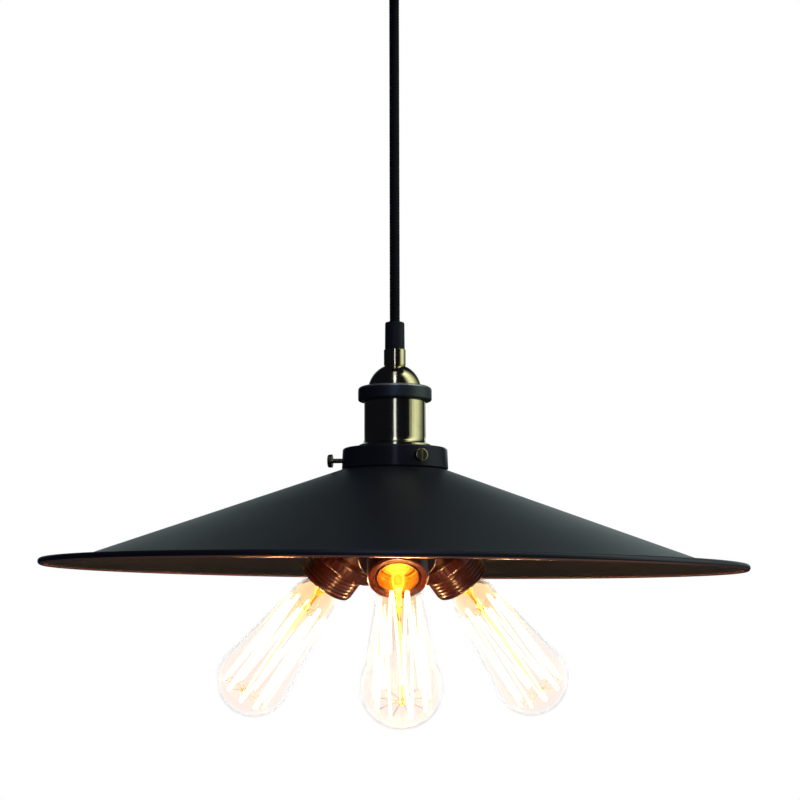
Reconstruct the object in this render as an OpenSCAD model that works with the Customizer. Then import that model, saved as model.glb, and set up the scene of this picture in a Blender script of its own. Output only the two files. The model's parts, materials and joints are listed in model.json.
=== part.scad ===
// Industrial pendant lamp in millimetres: a ceiling rose, a hanging cord, an antique brass cap and
// shell, a wide spun steel shade, and three tilted screw lampholders with squirrel cage bulbs.
// The origin is the centre of the ceiling plane, +Z is up and the front faces -Y.

/* [Ceiling rose] */
// Outside diameter of the ceiling cup
cup_d = 100; // [92:1:130]
// Height of the ceiling cup
cup_h = 28; // [28:1:45]
// Sheet thickness of the ceiling cup
cup_wall = 1.2; // [0.8:0.1:2]
// Outer radius of the cup's lower edge
cup_edge_r = 6; // [3:0.5:9]
// Width of the mounting strap
strap_w = 22; // [18:1:26]
// Thickness of the mounting strap
strap_t = 2; // [1.5:0.1:2.5]
// Depth of the strap's bent ears below the ceiling
ear_h = 14; // [12:0.5:18]
// Distance between the strap's two fixing slots
slot_spacing = 60; // [56:1:64]
// End-to-end length of a fixing slot
slot_l = 10; // [8:0.5:12]
// Width of a fixing slot
slot_w = 5; // [4:0.1:6]
// Thread diameter of the cup's side screws
cup_screw_d = 4; // [3:0.1:5]
// Head diameter of the cup's side screws
cup_screw_head_d = 8; // [6:0.1:10]
// Head thickness of the cup's side screws
cup_screw_head_t = 2.6; // [1.5:0.1:4]

/* [Terminals] */
// Length of the terminal block
block_l = 20; // [18:0.5:24]
// Width of the terminal block
block_w = 16; // [14:0.5:18]
// Height of the terminal block's bar
block_h = 8; // [7:0.1:9]
// Diameter of the block's screw towers
tower_d = 6.4; // [5.6:0.1:7]
// Height of the block's screw towers
tower_h = 3.5; // [2:0.1:4]
// Distance between the block's two ways
way_pitch = 9; // [8:0.1:10]
// Distance between the two screws of a way
way_screw_pitch = 8; // [7:0.1:9]
// Outside diameter of a brass way
way_d = 4.4; // [4:0.1:5]
// Wall of a brass way
way_wall = 0.9; // [0.6:0.05:1]
// Thread diameter of the clamping screws
clamp_d = 2.6; // [2:0.1:3]
// Outside diameter of an insulated lead
lead_d = 1.8; // [1.4:0.1:2.2]
// Distance of the earth screw from the centre
earth_x = 18; // [17:0.1:19]
// Thread diameter of the earth screw
earth_d = 4; // [3:0.1:4.5]
// Head diameter of the earth screw
earth_head_d = 7; // [6:0.1:8]
// Head thickness of the earth screw
earth_head_t = 2.4; // [1.6:0.1:3]

/* [Cord and grips] */
// Diameter of the braided cord
cord_d = 6.2; // [5:0.1:6.6]
// Diameter of a cord grip at its mouth
grip_top_d = 12.7; // [12.5:0.1:15]
// Diameter of a cord grip at its seat
grip_base_d = 13; // [12.7:0.1:15]
// Height of a cord grip
grip_h = 18; // [15:0.5:24]
// Edge radius at a grip's mouth
grip_edge_r = 1.6; // [0.6:0.1:2]
// Length of a grip's threaded stem
grip_stem_l = 7; // [6:0.5:8]
// Thread diameter of the grips' pinch screws
pinch_d = 3; // [2.5:0.1:4]
// Height of the pinch screw above the grip's seat
pinch_z = 7; // [5:0.5:9]

/* [Threaded tube and nuts] */
// Thread diameter of the tube, the grips' stems and the arms
thread_d = 10; // [9.5:0.1:10.5]
// Bore of the threaded tube
tube_bore_d = 7; // [6.4:0.1:7.4]
// Width across the flats of a lock nut
nut_af = 14; // [13:0.5:14.5]
// Thickness of a lock nut
nut_t = 3; // [2:0.1:3.2]

/* [Brass cap] */
// Diameter of the cap's neck
neck_d = 14.1; // [13:0.1:16]
// Height of the cap's neck
neck_h = 11.5; // [10:0.5:16]
// Diameter of the cap's dome
dome_d = 34.4; // [33:0.1:36]
// Height of the dome above the ring
dome_h = 13.2; // [11:0.1:14]
// Sheet thickness of the cap
cap_wall = 1; // [0.8:0.1:1.4]
// Thickness of the flange that the ring clamps
cap_flange_t = 1.2; // [0.8:0.1:1.6]

/* [Ring and shell] */
// Outside diameter of the union ring
ring_d = 48; // [45:0.5:52]
// Height of the union ring
ring_h = 9.6; // [9:0.1:14]
// Thickness of the ring's top lip
ring_lip_t = 2; // [1.5:0.1:2.5]
// Radius of the ring's upper edge
ring_top_r = 3; // [1:0.1:4]
// Radius of the ring's lower edge
ring_low_r = 1.6; // [0.6:0.1:2]
// Outside diameter of the shell
shell_d = 40; // [38.5:0.1:42]
// Wall of the shell
shell_wall = 1; // [0.8:0.1:1.4]
// Height of the shell that shows under the ring
shell_show_h = 23.7; // [20:0.1:32]
// Diameter of the shell's flared foot
foot_d = 46.5; // [44:0.5:52]
// Height of the flared foot
foot_h = 7; // [3:0.1:8]
// Thickness of the foot's edge
foot_edge_t = 2.2; // [0.5:0.1:2.6]

/* [Gallery and thumbscrews] */
// Diameter of the gallery at its top
gallery_top_d = 68; // [66:0.5:69]
// Diameter of the gallery at its lower edge
gallery_low_d = 69; // [68:0.5:72]
// Height of the gallery
gallery_h = 13.6; // [13.4:0.1:20]
// Wall of the gallery
gallery_wall = 1.5; // [1:0.1:2]
// Radius of the gallery's upper edge
gallery_edge_r = 1.7; // [1.6:0.1:3]
// Thread diameter of a thumbscrew
thumb_d = 3; // [2.5:0.1:4]
// Diameter of a thumbscrew's head
thumb_head_d = 8.6; // [7:0.1:10]
// Thickness of a thumbscrew's head
thumb_head_t = 3; // [2:0.1:4]
// Length of shank between the gallery and the head
thumb_show = 6.6; // [3:0.1:9]
// Height of the thumbscrews above the gallery's lower edge
thumb_z = 6; // [5.5:0.1:7]
// Direction of the first thumbscrew about the lamp's axis, in degrees
thumb_turn = 173; // [0:1:359]

/* [Shade] */
// Diameter of the shade over its rolled rim
shade_d = 452; // [360:2:560]
// Height of the shade below the gallery
shade_drop = 65; // [50:0.5:90]
// Sheet thickness of the shade
shade_t = 1; // [0.8:0.1:1.6]
// Width of the flat brim
brim_w = 24; // [10:1:30]
// Fall of the brim over its width
brim_drop = 1.9; // [0.5:0.1:3]
// Radius between the cone and the brim
brim_fillet = 25; // [5:1:40]
// Diameter of the rolled rim
rim_bead_d = 4.4; // [2.4:0.1:5]
// Outside diameter of the shade's neck
shade_neck_d = 59; // [56:0.5:60]
// Height of the shade's neck above the gallery's lower edge
shade_neck_h = 10.2; // [10:0.1:11]
// Radius at the foot of the neck
neck_fillet = 2; // [1:0.1:2.4]
// Diameter of the rolled lip on the neck
lip_bead_d = 2; // [1.8:0.1:2.4]

/* [Cluster] */
// Depth below the gallery's lower edge where the three arms' axes meet
cluster_drop = 12.5; // [9:0.5:16]
// Tilt of each arm from the vertical, in degrees
arm_tilt = 41; // [38:1:46]
// Direction of the first arm about the lamp's axis, in degrees
arm_turn = -88; // [-180:1:180]
// Distance along an arm from the meeting point to the cluster cup's cone
arm_seat = 20; // [19:0.5:21]
// Distance along an arm from the cluster cup's cone to the lampholder's back
arm_reach = 7.3; // [6:0.1:23]
// Diameter of the cluster cup
cluster_d = 44; // [42:0.5:50]
// Wall of the cluster cup and its lid
cluster_wall = 1.5; // [1:0.1:2]
// Height of the cluster cup above the meeting point
cluster_top = 12; // [11:0.5:13]
// Depth of the lid's skirt
lid_skirt = 6; // [5:0.5:8]
// Thread diameter of the cluster's side screws
cluster_screw_d = 2.5; // [2:0.1:3]
// Head diameter of the cluster's side screws
cluster_screw_head_d = 4.6; // [4:0.1:5.4]

/* [Lampholders] */
// Diameter of a lampholder's body
holder_d = 36; // [35:0.5:37]
// Length of a lampholder from its back to its mouth
holder_l = 52; // [50:0.5:53]
// Diameter of a lampholder's back neck
holder_neck_d = 17; // [15:0.5:18]
// Length of a lampholder's back neck
holder_neck_l = 5; // [4:0.5:6]
// Length of a lampholder's domed back
holder_dome_l = 11; // [9:0.5:13]
// Diameter of the mouth ring's skirt
mouth_ring_d = 38; // [37.5:0.5:42]
// Length of the mouth ring with its collar
mouth_ring_l = 25; // [20:0.5:28]
// Bevel of the mouth ring's edges
mouth_edge = 0.8; // [0.4:0.1:1.2]
// Diameter of the collar at the mouth ring's back
collar_d = 50; // [44:0.5:54]
// Thickness of the collar
collar_t = 7.4; // [5:0.1:9]
// Thickness of the mouth ring's front lip
mouth_lip_t = 1.5; // [1:0.1:2]
// Opening of the mouth ring's front lip
mouth_d = 30.4; // [29.6:0.2:31]
// Number of flutes round the collar
flutes = 44; // [16:2:48]
// Diameter of the cutter of a flute
flute_d = 1.8; // [1:0.1:2]
// Depth of a flute
flute_depth = 0.6; // [0.3:0.1:0.8]
// Inside diameter of the screw shell
screw_shell_d = 26.8; // [26.8:0.1:27.6]
// Sheet thickness of the screw shell
screw_shell_wall = 0.5; // [0.3:0.1:0.6]
// Length of the screw shell
screw_shell_l = 24; // [20:0.5:26]
// Thickness of the lampholder's floor
holder_floor_t = 6; // [4:0.5:7]
// Width of the centre contact's leaf
contact_w = 7; // [5:0.5:8]
// Sheet thickness of the centre contact
contact_t = 0.6; // [0.4:0.1:1]

/* [Bulbs] */
// Largest diameter of a bulb's glass
bulb_d = 56; // [54:0.5:64]
// Length of a bulb in front of its lampholder's mouth
bulb_out_l = 112; // [106:1:124]
// Glass thickness of a bulb
glass_t = 0.9; // [0.7:0.1:1.2]
// Taper of the glass from its shoulder to its round end, in degrees
glass_taper = 9.3; // [8:0.1:10]
// Distance of the glass shoulder in front of the mouth
glass_shoulder = 10; // [8:0.5:12]
// Outside diameter of the brass screw cap
bulb_cap_d = 26.2; // [25.6:0.1:26.2]
// Sheet thickness of the brass screw cap
bulb_cap_wall = 0.4; // [0.3:0.1:0.5]
// Length of the screw cap with its contact
bulb_cap_l = 27; // [26.5:0.1:27.4]
// Length of the cap's conical end
bulb_cone_l = 2.6; // [2:0.1:3]
// Diameter of the black insulator at the cap's end
insulator_d = 17; // [15:0.5:19]
// Length of the black insulator
insulator_l = 2.4; // [2:0.1:3]
// Diameter of the end contact
bulb_tip_d = 9.6; // [8:0.1:11]

/* [Filament and its mount] */
// Number of hairpins in the filament cage
hairpins = 9; // [5:1:11]
// Diameter of the filament wire
wire_d = 0.5; // [0.3:0.05:0.7]
// Radius of the wire's bend over a hook
wire_bend_r = 0.7; // [0.6:0.05:0.9]
// Diameter of the cage at its upper hooks
cage_top_d = 27; // [18:0.5:28]
// Diameter of the cage at its lower hooks
cage_low_d = 33; // [24:0.5:36]
// Distance of the upper hooks in front of the mouth
cage_start = 16; // [14:0.5:20]
// Length of the cage from hook to hook
cage_l = 79; // [65:1:82]
// Diameter of the glass stem tube
stem_d = 8; // [6:0.5:9]
// Diameter of the flare at the stem's root
stem_flare_d = 21; // [18:0.5:22]
// Diameter of the long glass rod
rod_d = 3; // [2:0.1:4]
// Diameter of the glass buttons that hold the hooks
button_d = 5; // [4:0.1:6]
// Diameter of a hook wire
hook_d = 0.5; // [0.4:0.05:0.8]

/* [Clearances] */
// Radial clearance of a screw in its tapped hole
thread_gap = 0.05; // [0.02:0.01:0.1]
// Radial clearance of a plain hole
hole_gap = 0.1; // [0.05:0.05:0.2]
// Clearance round the cord's swinging ends
swing_gap = 0.3; // [0.25:0.05:0.4]
// Clearance between pieces that move apart
slide_gap = 0.3; // [0.25:0.05:0.35]
// Clearance between loosely fitted still pieces
rest_gap = 0.2; // [0.1:0.05:0.3]

/* [Hidden] */
$fn = 96;
// Small overlap that lets a cutter pass a face
cut = 1;
arms = 3;
arm_step = 360 / arms;
arc_steps = 6;
cord_sides = 10;
wire_sides = 6;
lead_sides = 8;
// Route of the free cord below the rose's grip, straight down under the lamp's weight
cord_route = [
    [0, 0, 0], [0, 0, -14], [0, 0, -28], [0, 0, -42], [0, 0, -56], [0, 0, -70],
    [0, 0, -84], [0, 0, -98], [0, 0, -112], [0, 0, -126], [0, 0, -140], [0, 0, -154],
    [0, 0, -168], [0, 0, -182], [0, 0, -196], [0, 0, -210], [0, 0, -224]
];

cord_r = cord_d / 2;
thread_r = thread_d / 2;
tapped_r = thread_r + thread_gap;
drilled_r = thread_r + hole_gap;
tube_bore_r = tube_bore_d / 2;
lead_r = lead_d / 2;
shell_r = shell_d / 2;
gallery_in_r = gallery_low_d / 2 - gallery_wall;
shade_r = shade_d / 2;
shade_neck_r = shade_neck_d / 2;
holder_r = holder_d / 2;
mouth_ring_r = mouth_ring_d / 2;
bulb_r = bulb_d / 2;
bulb_cap_r = bulb_cap_d / 2;

// Heights, from the ceiling down
outlet_z = -(cup_h + grip_h);
cord_end = cord_route[len(cord_route) - 1];
lamp_top_z = outlet_z + cord_end.z;
grip_seat_z = lamp_top_z - grip_h;
ring_top_z = grip_seat_z - neck_h - dome_h;
shell_low_z = ring_top_z - ring_h - shell_show_h - foot_h;
gallery_low_z = shell_low_z - gallery_h;
rim_z = gallery_low_z - shade_drop;
cluster_z = gallery_low_z - cluster_drop;
tail_l = grip_stem_l + 1;
rose_tail_z = tail_l - cup_h;
lamp_tail_z = grip_seat_z - tail_l;
tube_top_z = lamp_tail_z - rest_gap;
lid_z = cluster_z + cluster_top;
tube_low_z = lid_z - nut_t - 2;

// Distance along an arm from the meeting point to the lampholder's mouth
mouth_reach = arm_seat + arm_reach + holder_l;

// Inside the cluster cup a flat pad carries each arm's nut, as deep as the cone is curved across it
pad_r = nut_af / 2 / cos(30) + rest_gap;
seat_in = arm_seat - cluster_wall;
pad_s = sqrt(seat_in * seat_in - pad_r * pad_r) - mouth_reach;
arm_start = pad_s - nut_t - rest_gap;

// The sphere of the dome reaches the neck's radius at the dome's height
dome_r = dome_d / 2;
neck_r = neck_d / 2;
dome_sink = sqrt(dome_r * dome_r - neck_r * neck_r) - dome_h;
clamp_z = ring_top_z - ring_lip_t;
shell_top_z = clamp_z - cap_flange_t;

// The strap's ears stand just inside the cup's curved wall
cup_in_r = cup_d / 2 - cup_wall;
ear_x = sqrt(cup_in_r * cup_in_r - strap_w * strap_w / 4) - slide_gap;
cup_screw_z = -(strap_t + ear_h) / 2;
way_z = -strap_t - block_h / 2;
block_low_z = -strap_t - block_h;

// The cone runs from the gallery's inner edge to the brim, which ends in the middle of the rolled rim
cone_in = [gallery_in_r, shade_drop - rest_gap];
brim_end_z = (rim_bead_d + shade_t) / 2;
cone_out = [shade_r - brim_w, brim_end_z + brim_drop];
cone_slope = atan2(cone_in.y - cone_out.y, cone_out.x - cone_in.x);
brim_slope = atan2(brim_drop, brim_w - rim_bead_d / 2);

// Places along an arm, measured from the lampholder's mouth and positive towards the bulb's tip
holder_back = -holder_l;
cavity_r = screw_shell_d / 2 + screw_shell_wall + rest_gap;
nose_r = mouth_ring_r - (mouth_ring_d - holder_d) / 2 - 1;
bulb_cap_top = -1.2;
bulb_tip_s = bulb_cap_top - bulb_cap_l;
contact_top = bulb_tip_s - slide_gap;
floor_s = contact_top - 3;
floor_back = floor_s - holder_floor_t;
holder_thread_end = holder_back + holder_neck_l + 3;
glass_end_s = bulb_out_l - bulb_r;
glass_neck_r = bulb_cap_r - bulb_cap_wall - rest_gap;
glass_root = -14;
cage_end = cage_start + cage_l;
neck_collar = 1.4;

function unit(v) = v / norm(v);

// Points of an arc about a centre, from one angle to another
function arc(centre, r, from, to, steps = arc_steps) =
    [for (i = [0:steps]) let(a = from + (to - from) * i / steps) centre + r * [cos(a), sin(a)]];

// Points of a quadratic curve from a to c that is drawn towards b
function curve(a, b, c, steps = arc_steps) =
    [for (i = [0:steps]) let(t = i / steps) (1 - t) * (1 - t) * a + 2 * t * (1 - t) * b + t * t * c];

function reversed(list) = [for (i = [len(list) - 1:-1:0]) list[i]];

// Direction of a path at one of its points
function heading(path, i) =
    i == 0 ? unit(path[1] - path[0]) :
    i == len(path) - 1 ? unit(path[i] - path[i - 1]) :
    unit(unit(path[i] - path[i - 1]) + unit(path[i + 1] - path[i]));

// A closed tube along a path, with a radius and a side direction at each point
module tube(path, radii, sideways, sides) {
    last = len(path) - 1;
    points = [
        for (i = [0:last])
            let(t = heading(path, i), u = unit(cross(t, sideways[i])), v = cross(t, u))
                for (k = [0:sides - 1])
                    path[i] + radii[i] * (cos(360 * k / sides) * u + sin(360 * k / sides) * v)
    ];
    walls = [
        for (i = [0:last - 1], k = [0:sides - 1])
            let(a = i * sides + k, b = i * sides + (k + 1) % sides)
                each [[a, a + sides, b + sides], [a, b + sides, b]]
    ];
    ends = [
        for (k = [1:sides - 2])
            each [[0, k, k + 1], [last * sides, last * sides + k + 1, last * sides + k]]
    ];
    polyhedron(points, concat(walls, ends));
}

// A tube of one radius whose route never runs along the sideways direction
module lead(path, sideways) {
    tube(path, [for (p = path) lead_r], [for (p = path) sideways], lead_sides);
}

module hex_nut() {
    difference() {
        cylinder(d = nut_af / cos(30), h = nut_t, $fn = 6);
        translate([0, 0, -cut]) cylinder(r = tapped_r, h = nut_t + 2 * cut);
    }
}

// A screw head with a rounded edge, standing on z = 0
module round_head(d, t) {
    edge = t / 3;
    rotate_extrude()
        polygon(concat([[0, 0], [d / 2, 0]], arc([d / 2 - edge, t - edge], edge, 0, 90), [[0, t]]));
}

// A slotted screw along +Z: the head stands on z = 0 and the shank reaches down
module slotted_screw(d, shank_l, head_d, head_t) {
    slot = head_t / 3;
    difference() {
        union() {
            round_head(head_d, head_t);
            translate([0, 0, -shank_l]) cylinder(d = d, h = shank_l + slot);
        }
        translate([-head_d, -slot / 2, head_t - slot]) cube([2 * head_d, slot, slot + cut]);
    }
}

// A lock nut, a stem and a mouth turned to the rose, where everything points down
module at_rose_seat() {
    translate([0, 0, -cup_h]) rotate([180, 0, 0]) children();
}

module at_lamp_seat() {
    translate([0, 0, grip_seat_z]) children();
}

// The mouth of a lampholder, with +Z towards the tip of its bulb
module at_arm(i) {
    translate([0, 0, cluster_z]) rotate([0, 180 - arm_tilt, arm_turn + arm_step * (i - 1)])
        translate([0, 0, mouth_reach]) children();
}

module at_each_arm() {
    for (i = [1:arms]) at_arm(i) children();
}

// The gallery's tapped holes, with +Z pointing outwards
module at_thumbscrew(i) {
    translate([0, 0, gallery_low_z + thumb_z]) rotate([0, 90, thumb_turn + arm_step * (i - 1)]) children();
}

module ceiling_strap() {
    color("silver") difference() {
        union() {
            translate([-ear_x, -strap_w / 2, -strap_t]) cube([2 * ear_x, strap_w, strap_t]);
            for (side = [-1, 1]) translate([side * (ear_x - strap_t / 2), 0, -ear_h / 2])
                cube([strap_t, strap_w, ear_h], center = true);
        }
        for (side = [-1, 1]) {
            for (end = [-1, 1])
                translate([side * slot_spacing / 2 + end * (slot_l - slot_w) / 2, 0, -strap_t - cut])
                    cylinder(d = slot_w, h = strap_t + 2 * cut);
            translate([side * slot_spacing / 2, 0, -strap_t / 2])
                cube([slot_l - slot_w, slot_w, strap_t + 2 * cut], center = true);
        }
        translate([0, 0, cup_screw_z]) rotate([0, 90, 0])
            cylinder(r = cup_screw_d / 2 + thread_gap, h = cup_d, center = true);
        translate([0, 0, -strap_t - cut]) cylinder(d = way_d + 2 * hole_gap, h = strap_t + 2 * cut);
        translate([earth_x, 0, -strap_t - cut])
            cylinder(r = earth_d / 2 + thread_gap, h = strap_t + 2 * cut);
    }
}

// A spun cup that closes against the ceiling, with a rounded lower edge
module ceiling_cup() {
    outer = cup_d / 2;
    corner = outer - cup_edge_r;
    in_edge_r = max(cup_edge_r - cup_wall, 0.1);
    color("#202020") difference() {
        rotate_extrude() polygon(concat(
            [[drilled_r, -cup_h]],
            arc([corner, cup_edge_r - cup_h], cup_edge_r, -90, 0),
            [[outer, 0], [cup_in_r, 0]],
            arc([corner, cup_edge_r - cup_h], in_edge_r, 0, -90),
            [[drilled_r, cup_wall - cup_h]]
        ));
        translate([0, 0, cup_screw_z]) rotate([0, 90, 0])
            cylinder(r = cup_screw_d / 2 + hole_gap, h = cup_d + 2 * cut, center = true);
    }
}

module cup_screws() {
    head_x = cup_d / 2 + rest_gap;
    shank_l = head_x - ear_x + strap_t + 2;
    color("#202020") for (turn = [0, 180])
        rotate([0, 0, turn]) translate([head_x, 0, cup_screw_z]) rotate([0, 90, 0])
            slotted_screw(cup_screw_d, shank_l, cup_screw_head_d, cup_screw_head_t);
}

// A cord grip with its seat on z = 0, its mouth up and its threaded stem down
module cord_grip() {
    top_r = grip_top_d / 2;
    difference() {
        union() {
            rotate_extrude() polygon(concat(
                [[0, 0], [grip_base_d / 2, 0]],
                arc([top_r - grip_edge_r, grip_h - grip_edge_r], grip_edge_r, 0, 90),
                [[0, grip_h]]
            ));
            translate([0, 0, -grip_stem_l]) cylinder(r = thread_r, h = grip_stem_l + cut);
        }
        translate([0, 0, grip_h]) sphere(r = cord_r + swing_gap);
        translate([0, 0, -grip_stem_l - cut])
            cylinder(r = cord_r + thread_gap, h = grip_stem_l + cut + grip_h - cord_r);
        translate([0, 0, pinch_z]) rotate([-90, 0, 0])
            cylinder(r = pinch_d / 2 + thread_gap, h = grip_base_d);
    }
}

// The grub screw that pinches the cord from the back of a grip
module pinch_screw() {
    tip = cord_r + thread_gap;
    length = grip_base_d / 2 - tip;
    socket = pinch_d / 2;
    translate([0, tip, pinch_z]) rotate([-90, 0, 0]) difference() {
        cylinder(d = pinch_d, h = length);
        translate([0, 0, length - socket / 2]) cylinder(d = socket, h = socket, $fn = 6);
    }
}

// The stretch of cord that a grip holds, from the swinging end's seat to the stem's end
module cord_tail() {
    translate([0, 0, -tail_l])
        cylinder(r = cord_r, h = tail_l + grip_h - cord_r - swing_gap - rest_gap);
}

module rose_grip() {
    color("#1c1c1c") at_rose_seat() cord_grip();
}

module rose_pinch_screw() {
    color("dimgray") at_rose_seat() pinch_screw();
}

module rose_cord_tail() {
    color("#111111") at_rose_seat() cord_tail();
}

module rose_lock_nut() {
    color("silver") translate([0, 0, cup_wall - cup_h]) hex_nut();
}

// A two-way connector that snaps into the strap by a moulded peg
module terminal_block() {
    peg_l = strap_t - rest_gap;
    color("ivory") difference() {
        union() {
            translate([-block_l / 2, -block_w / 2, block_low_z]) cube([block_l, block_w, block_h]);
            translate([0, 0, -strap_t - cut]) cylinder(d = way_d, h = peg_l + cut);
            for (x = [-1, 1], y = [-1, 1])
                translate([x * way_pitch / 2, y * way_screw_pitch / 2, block_low_z - tower_h])
                    cylinder(d = tower_d, h = tower_h + cut);
        }
        for (x = [-1, 1]) translate([x * way_pitch / 2, 0, way_z]) rotate([90, 0, 0])
            cylinder(r = way_d / 2 + thread_gap, h = block_w + 2 * cut, center = true);
        for (x = [-1, 1], y = [-1, 1])
            translate([x * way_pitch / 2, y * way_screw_pitch / 2, block_low_z - tower_h - cut])
                cylinder(r = clamp_d / 2 + hole_gap, h = tower_h + block_h / 2 + cut);
    }
}

module terminal_ways() {
    color("goldenrod") for (x = [-1, 1]) difference() {
        translate([x * way_pitch / 2, 0, way_z]) rotate([90, 0, 0]) difference() {
            cylinder(d = way_d, h = block_w - 2, center = true);
            cylinder(r = way_d / 2 - way_wall, h = block_w, center = true);
        }
        for (y = [-1, 1]) translate([x * way_pitch / 2, y * way_screw_pitch / 2, way_z - way_d])
            cylinder(r = clamp_d / 2 + thread_gap, h = way_d);
    }
}

module terminal_screws() {
    length = tower_h + block_h / 2 - way_d / 2 + way_wall;
    groove = clamp_d / 4;
    color("silver") for (x = [-1, 1], y = [-1, 1])
        translate([x * way_pitch / 2, y * way_screw_pitch / 2, block_low_z - tower_h]) difference() {
            cylinder(d = clamp_d, h = length);
            translate([-clamp_d, -groove / 2, -cut]) cube([2 * clamp_d, groove, cut + groove]);
        }
}

module earth_screw() {
    color("silver") translate([earth_x, 0, -strap_t]) rotate([180, 0, 0])
        slotted_screw(earth_d, strap_t - rest_gap, earth_head_d, earth_head_t);
}

// Live and neutral leads turn up into the block's ways, and the earth lead meets its screw
module rose_leads() {
    start_z = rose_tail_z + rest_gap;
    run_z = (rose_tail_z + block_low_z - tower_h) / 2;
    turn_y = block_w / 2 + 5;
    earth_run = earth_x - earth_head_d / 2 - lead_r - hole_gap;
    way_in = block_w / 2 - 3;
    color("saddlebrown") for (x = [-1, 1]) lead([
        [x * lead_d, 0, start_z],
        [x * lead_d, 0, start_z + lead_r],
        [x * lead_d, -lead_d, run_z],
        [x * way_pitch / 2, -block_w / 2 + 2, run_z],
        [x * way_pitch / 2, -turn_y + 2, run_z + 1.5],
        [x * way_pitch / 2, -turn_y, (run_z + way_z) / 2],
        [x * way_pitch / 2, -turn_y + 1, way_z - 1],
        [x * way_pitch / 2, -turn_y + 3, way_z],
        [x * way_pitch / 2, -way_in, way_z]
    ], [1, 0, 0.05]);
    color("olivedrab") lead([
        [0, lead_d, start_z],
        [0, lead_d, start_z + lead_r],
        [2, lead_d, run_z],
        [earth_run - 3, lead_d, run_z],
        [earth_run - 0.5, lead_d - 0.4, run_z + 2],
        [earth_run, lead_d / 2, run_z + 5],
        [earth_run, 0, -strap_t - earth_head_t / 2 - 3],
        [earth_run, 0, -strap_t - earth_head_t / 2]
    ], [0, 1, 0.05]);
}

// The free stretch of cord, whose round ends turn in the mouths of the two grips
module cord() {
    round_steps = [75, 50, 25];
    route = [for (p = cord_route) p + [0, 0, outlet_z]];
    top = [for (a = round_steps) route[0] + [0, 0, cord_r * sin(a)]];
    low = [for (a = reversed(round_steps)) route[len(route) - 1] - [0, 0, cord_r * sin(a)]];
    ends = [for (a = round_steps) cord_r * cos(a)];
    path = concat(top, route, low);
    radii = concat(ends, [for (p = route) cord_r], reversed(ends));
    color("#111111") tube(path, radii, [for (p = path) [0, 1, 0]], cord_sides);
}

module lamp_grip() {
    color("#1c1c1c") at_lamp_seat() cord_grip();
}

module lamp_pinch_screw() {
    color("dimgray") at_lamp_seat() pinch_screw();
}

module lamp_cord_tail() {
    color("#111111") at_lamp_seat() cord_tail();
}

// A spun dome with a tapped neck, and a flange that the union ring clamps
module brass_cap() {
    height = clamp_z - shell_top_z + ring_lip_t + dome_h;
    color("#8a7340") translate([0, 0, ring_top_z]) rotate_extrude() difference() {
        union() {
            intersection() {
                difference() {
                    translate([0, -dome_sink]) circle(r = dome_r);
                    translate([0, -dome_sink]) circle(r = dome_r - cap_wall);
                }
                translate([0, shell_top_z - ring_top_z]) square([dome_r + cut, height]);
            }
            translate([0, dome_h - neck_collar]) square([neck_r, neck_h + neck_collar]);
            translate([dome_r - cap_wall, shell_top_z - ring_top_z])
                square([shell_r - rest_gap - dome_r + cap_wall, cap_flange_t]);
        }
        translate([-cut, -dome_r]) square([tapped_r + cut, 2 * dome_r + neck_h]);
    }
}

// The ring screws onto the shell and clamps the cap's flange against it
module union_ring() {
    r = ring_d / 2;
    lip_r = dome_r + hole_gap;
    color("#4a4432") translate([0, 0, ring_top_z]) rotate_extrude() polygon(concat(
        [[lip_r, 0]],
        arc([r - ring_top_r, -ring_top_r], ring_top_r, 90, 0),
        arc([r - ring_low_r, ring_low_r - ring_h], ring_low_r, 0, -90),
        [[shell_r + thread_gap, -ring_h], [shell_r + thread_gap, -ring_lip_t], [lip_r, -ring_lip_t]]
    ));
}

// A straight shell with a concave flared foot that stands on the gallery
module brass_shell() {
    foot_r = foot_d / 2;
    flare = [
        for (i = [0:arc_steps])
            let(a = 90 * i / arc_steps)
                [shell_r + (foot_r - shell_r) * (1 - cos(a)),
                 foot_edge_t + (foot_h - foot_edge_t) * (1 - sin(a))]
    ];
    top = shell_top_z - shell_low_z;
    color("#8a7340") translate([0, 0, shell_low_z]) rotate_extrude() polygon(concat(
        [[shell_r - shell_wall, top], [shell_r, top]], flare,
        [[foot_r, 0], [shell_r - shell_wall, 0]]
    ));
}

// A turned cup that holds the shade's neck, with three tapped holes in its wall
module gallery() {
    top_r = gallery_top_d / 2;
    low_r = gallery_low_d / 2;
    in_edge_r = max(gallery_edge_r - gallery_wall, 0.1);
    centre = [top_r - gallery_edge_r, gallery_h - gallery_edge_r];
    color("#1a1a1a") difference() {
        translate([0, 0, gallery_low_z]) rotate_extrude() polygon(concat(
            [[drilled_r, gallery_h]],
            arc(centre, gallery_edge_r, 90, 0),
            [[low_r, 0], [gallery_in_r, 0]],
            arc(centre, in_edge_r, 0, 90),
            [[drilled_r, gallery_h - gallery_wall]]
        ));
        for (i = [1:arms]) at_thumbscrew(i) cylinder(r = thumb_d / 2 + thread_gap, h = gallery_low_d);
    }
}

// A thumbscrew whose tip stops just short of the shade's neck, under its rolled lip
module thumbscrew(i) {
    tip = shade_neck_r + slide_gap;
    head = gallery_low_d / 2 + thumb_show;
    color("#4a4432") at_thumbscrew(i) translate([0, 0, head])
        slotted_screw(thumb_d, head - tip, thumb_head_d, thumb_head_t);
}

// The threaded tube carries everything below the cap
module centre_tube() {
    color("darkgoldenrod") translate([0, 0, tube_low_z]) difference() {
        cylinder(r = thread_r, h = tube_top_z - tube_low_z);
        translate([0, 0, -cut]) cylinder(r = tube_bore_r, h = tube_top_z - tube_low_z + 2 * cut);
    }
}

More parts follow.
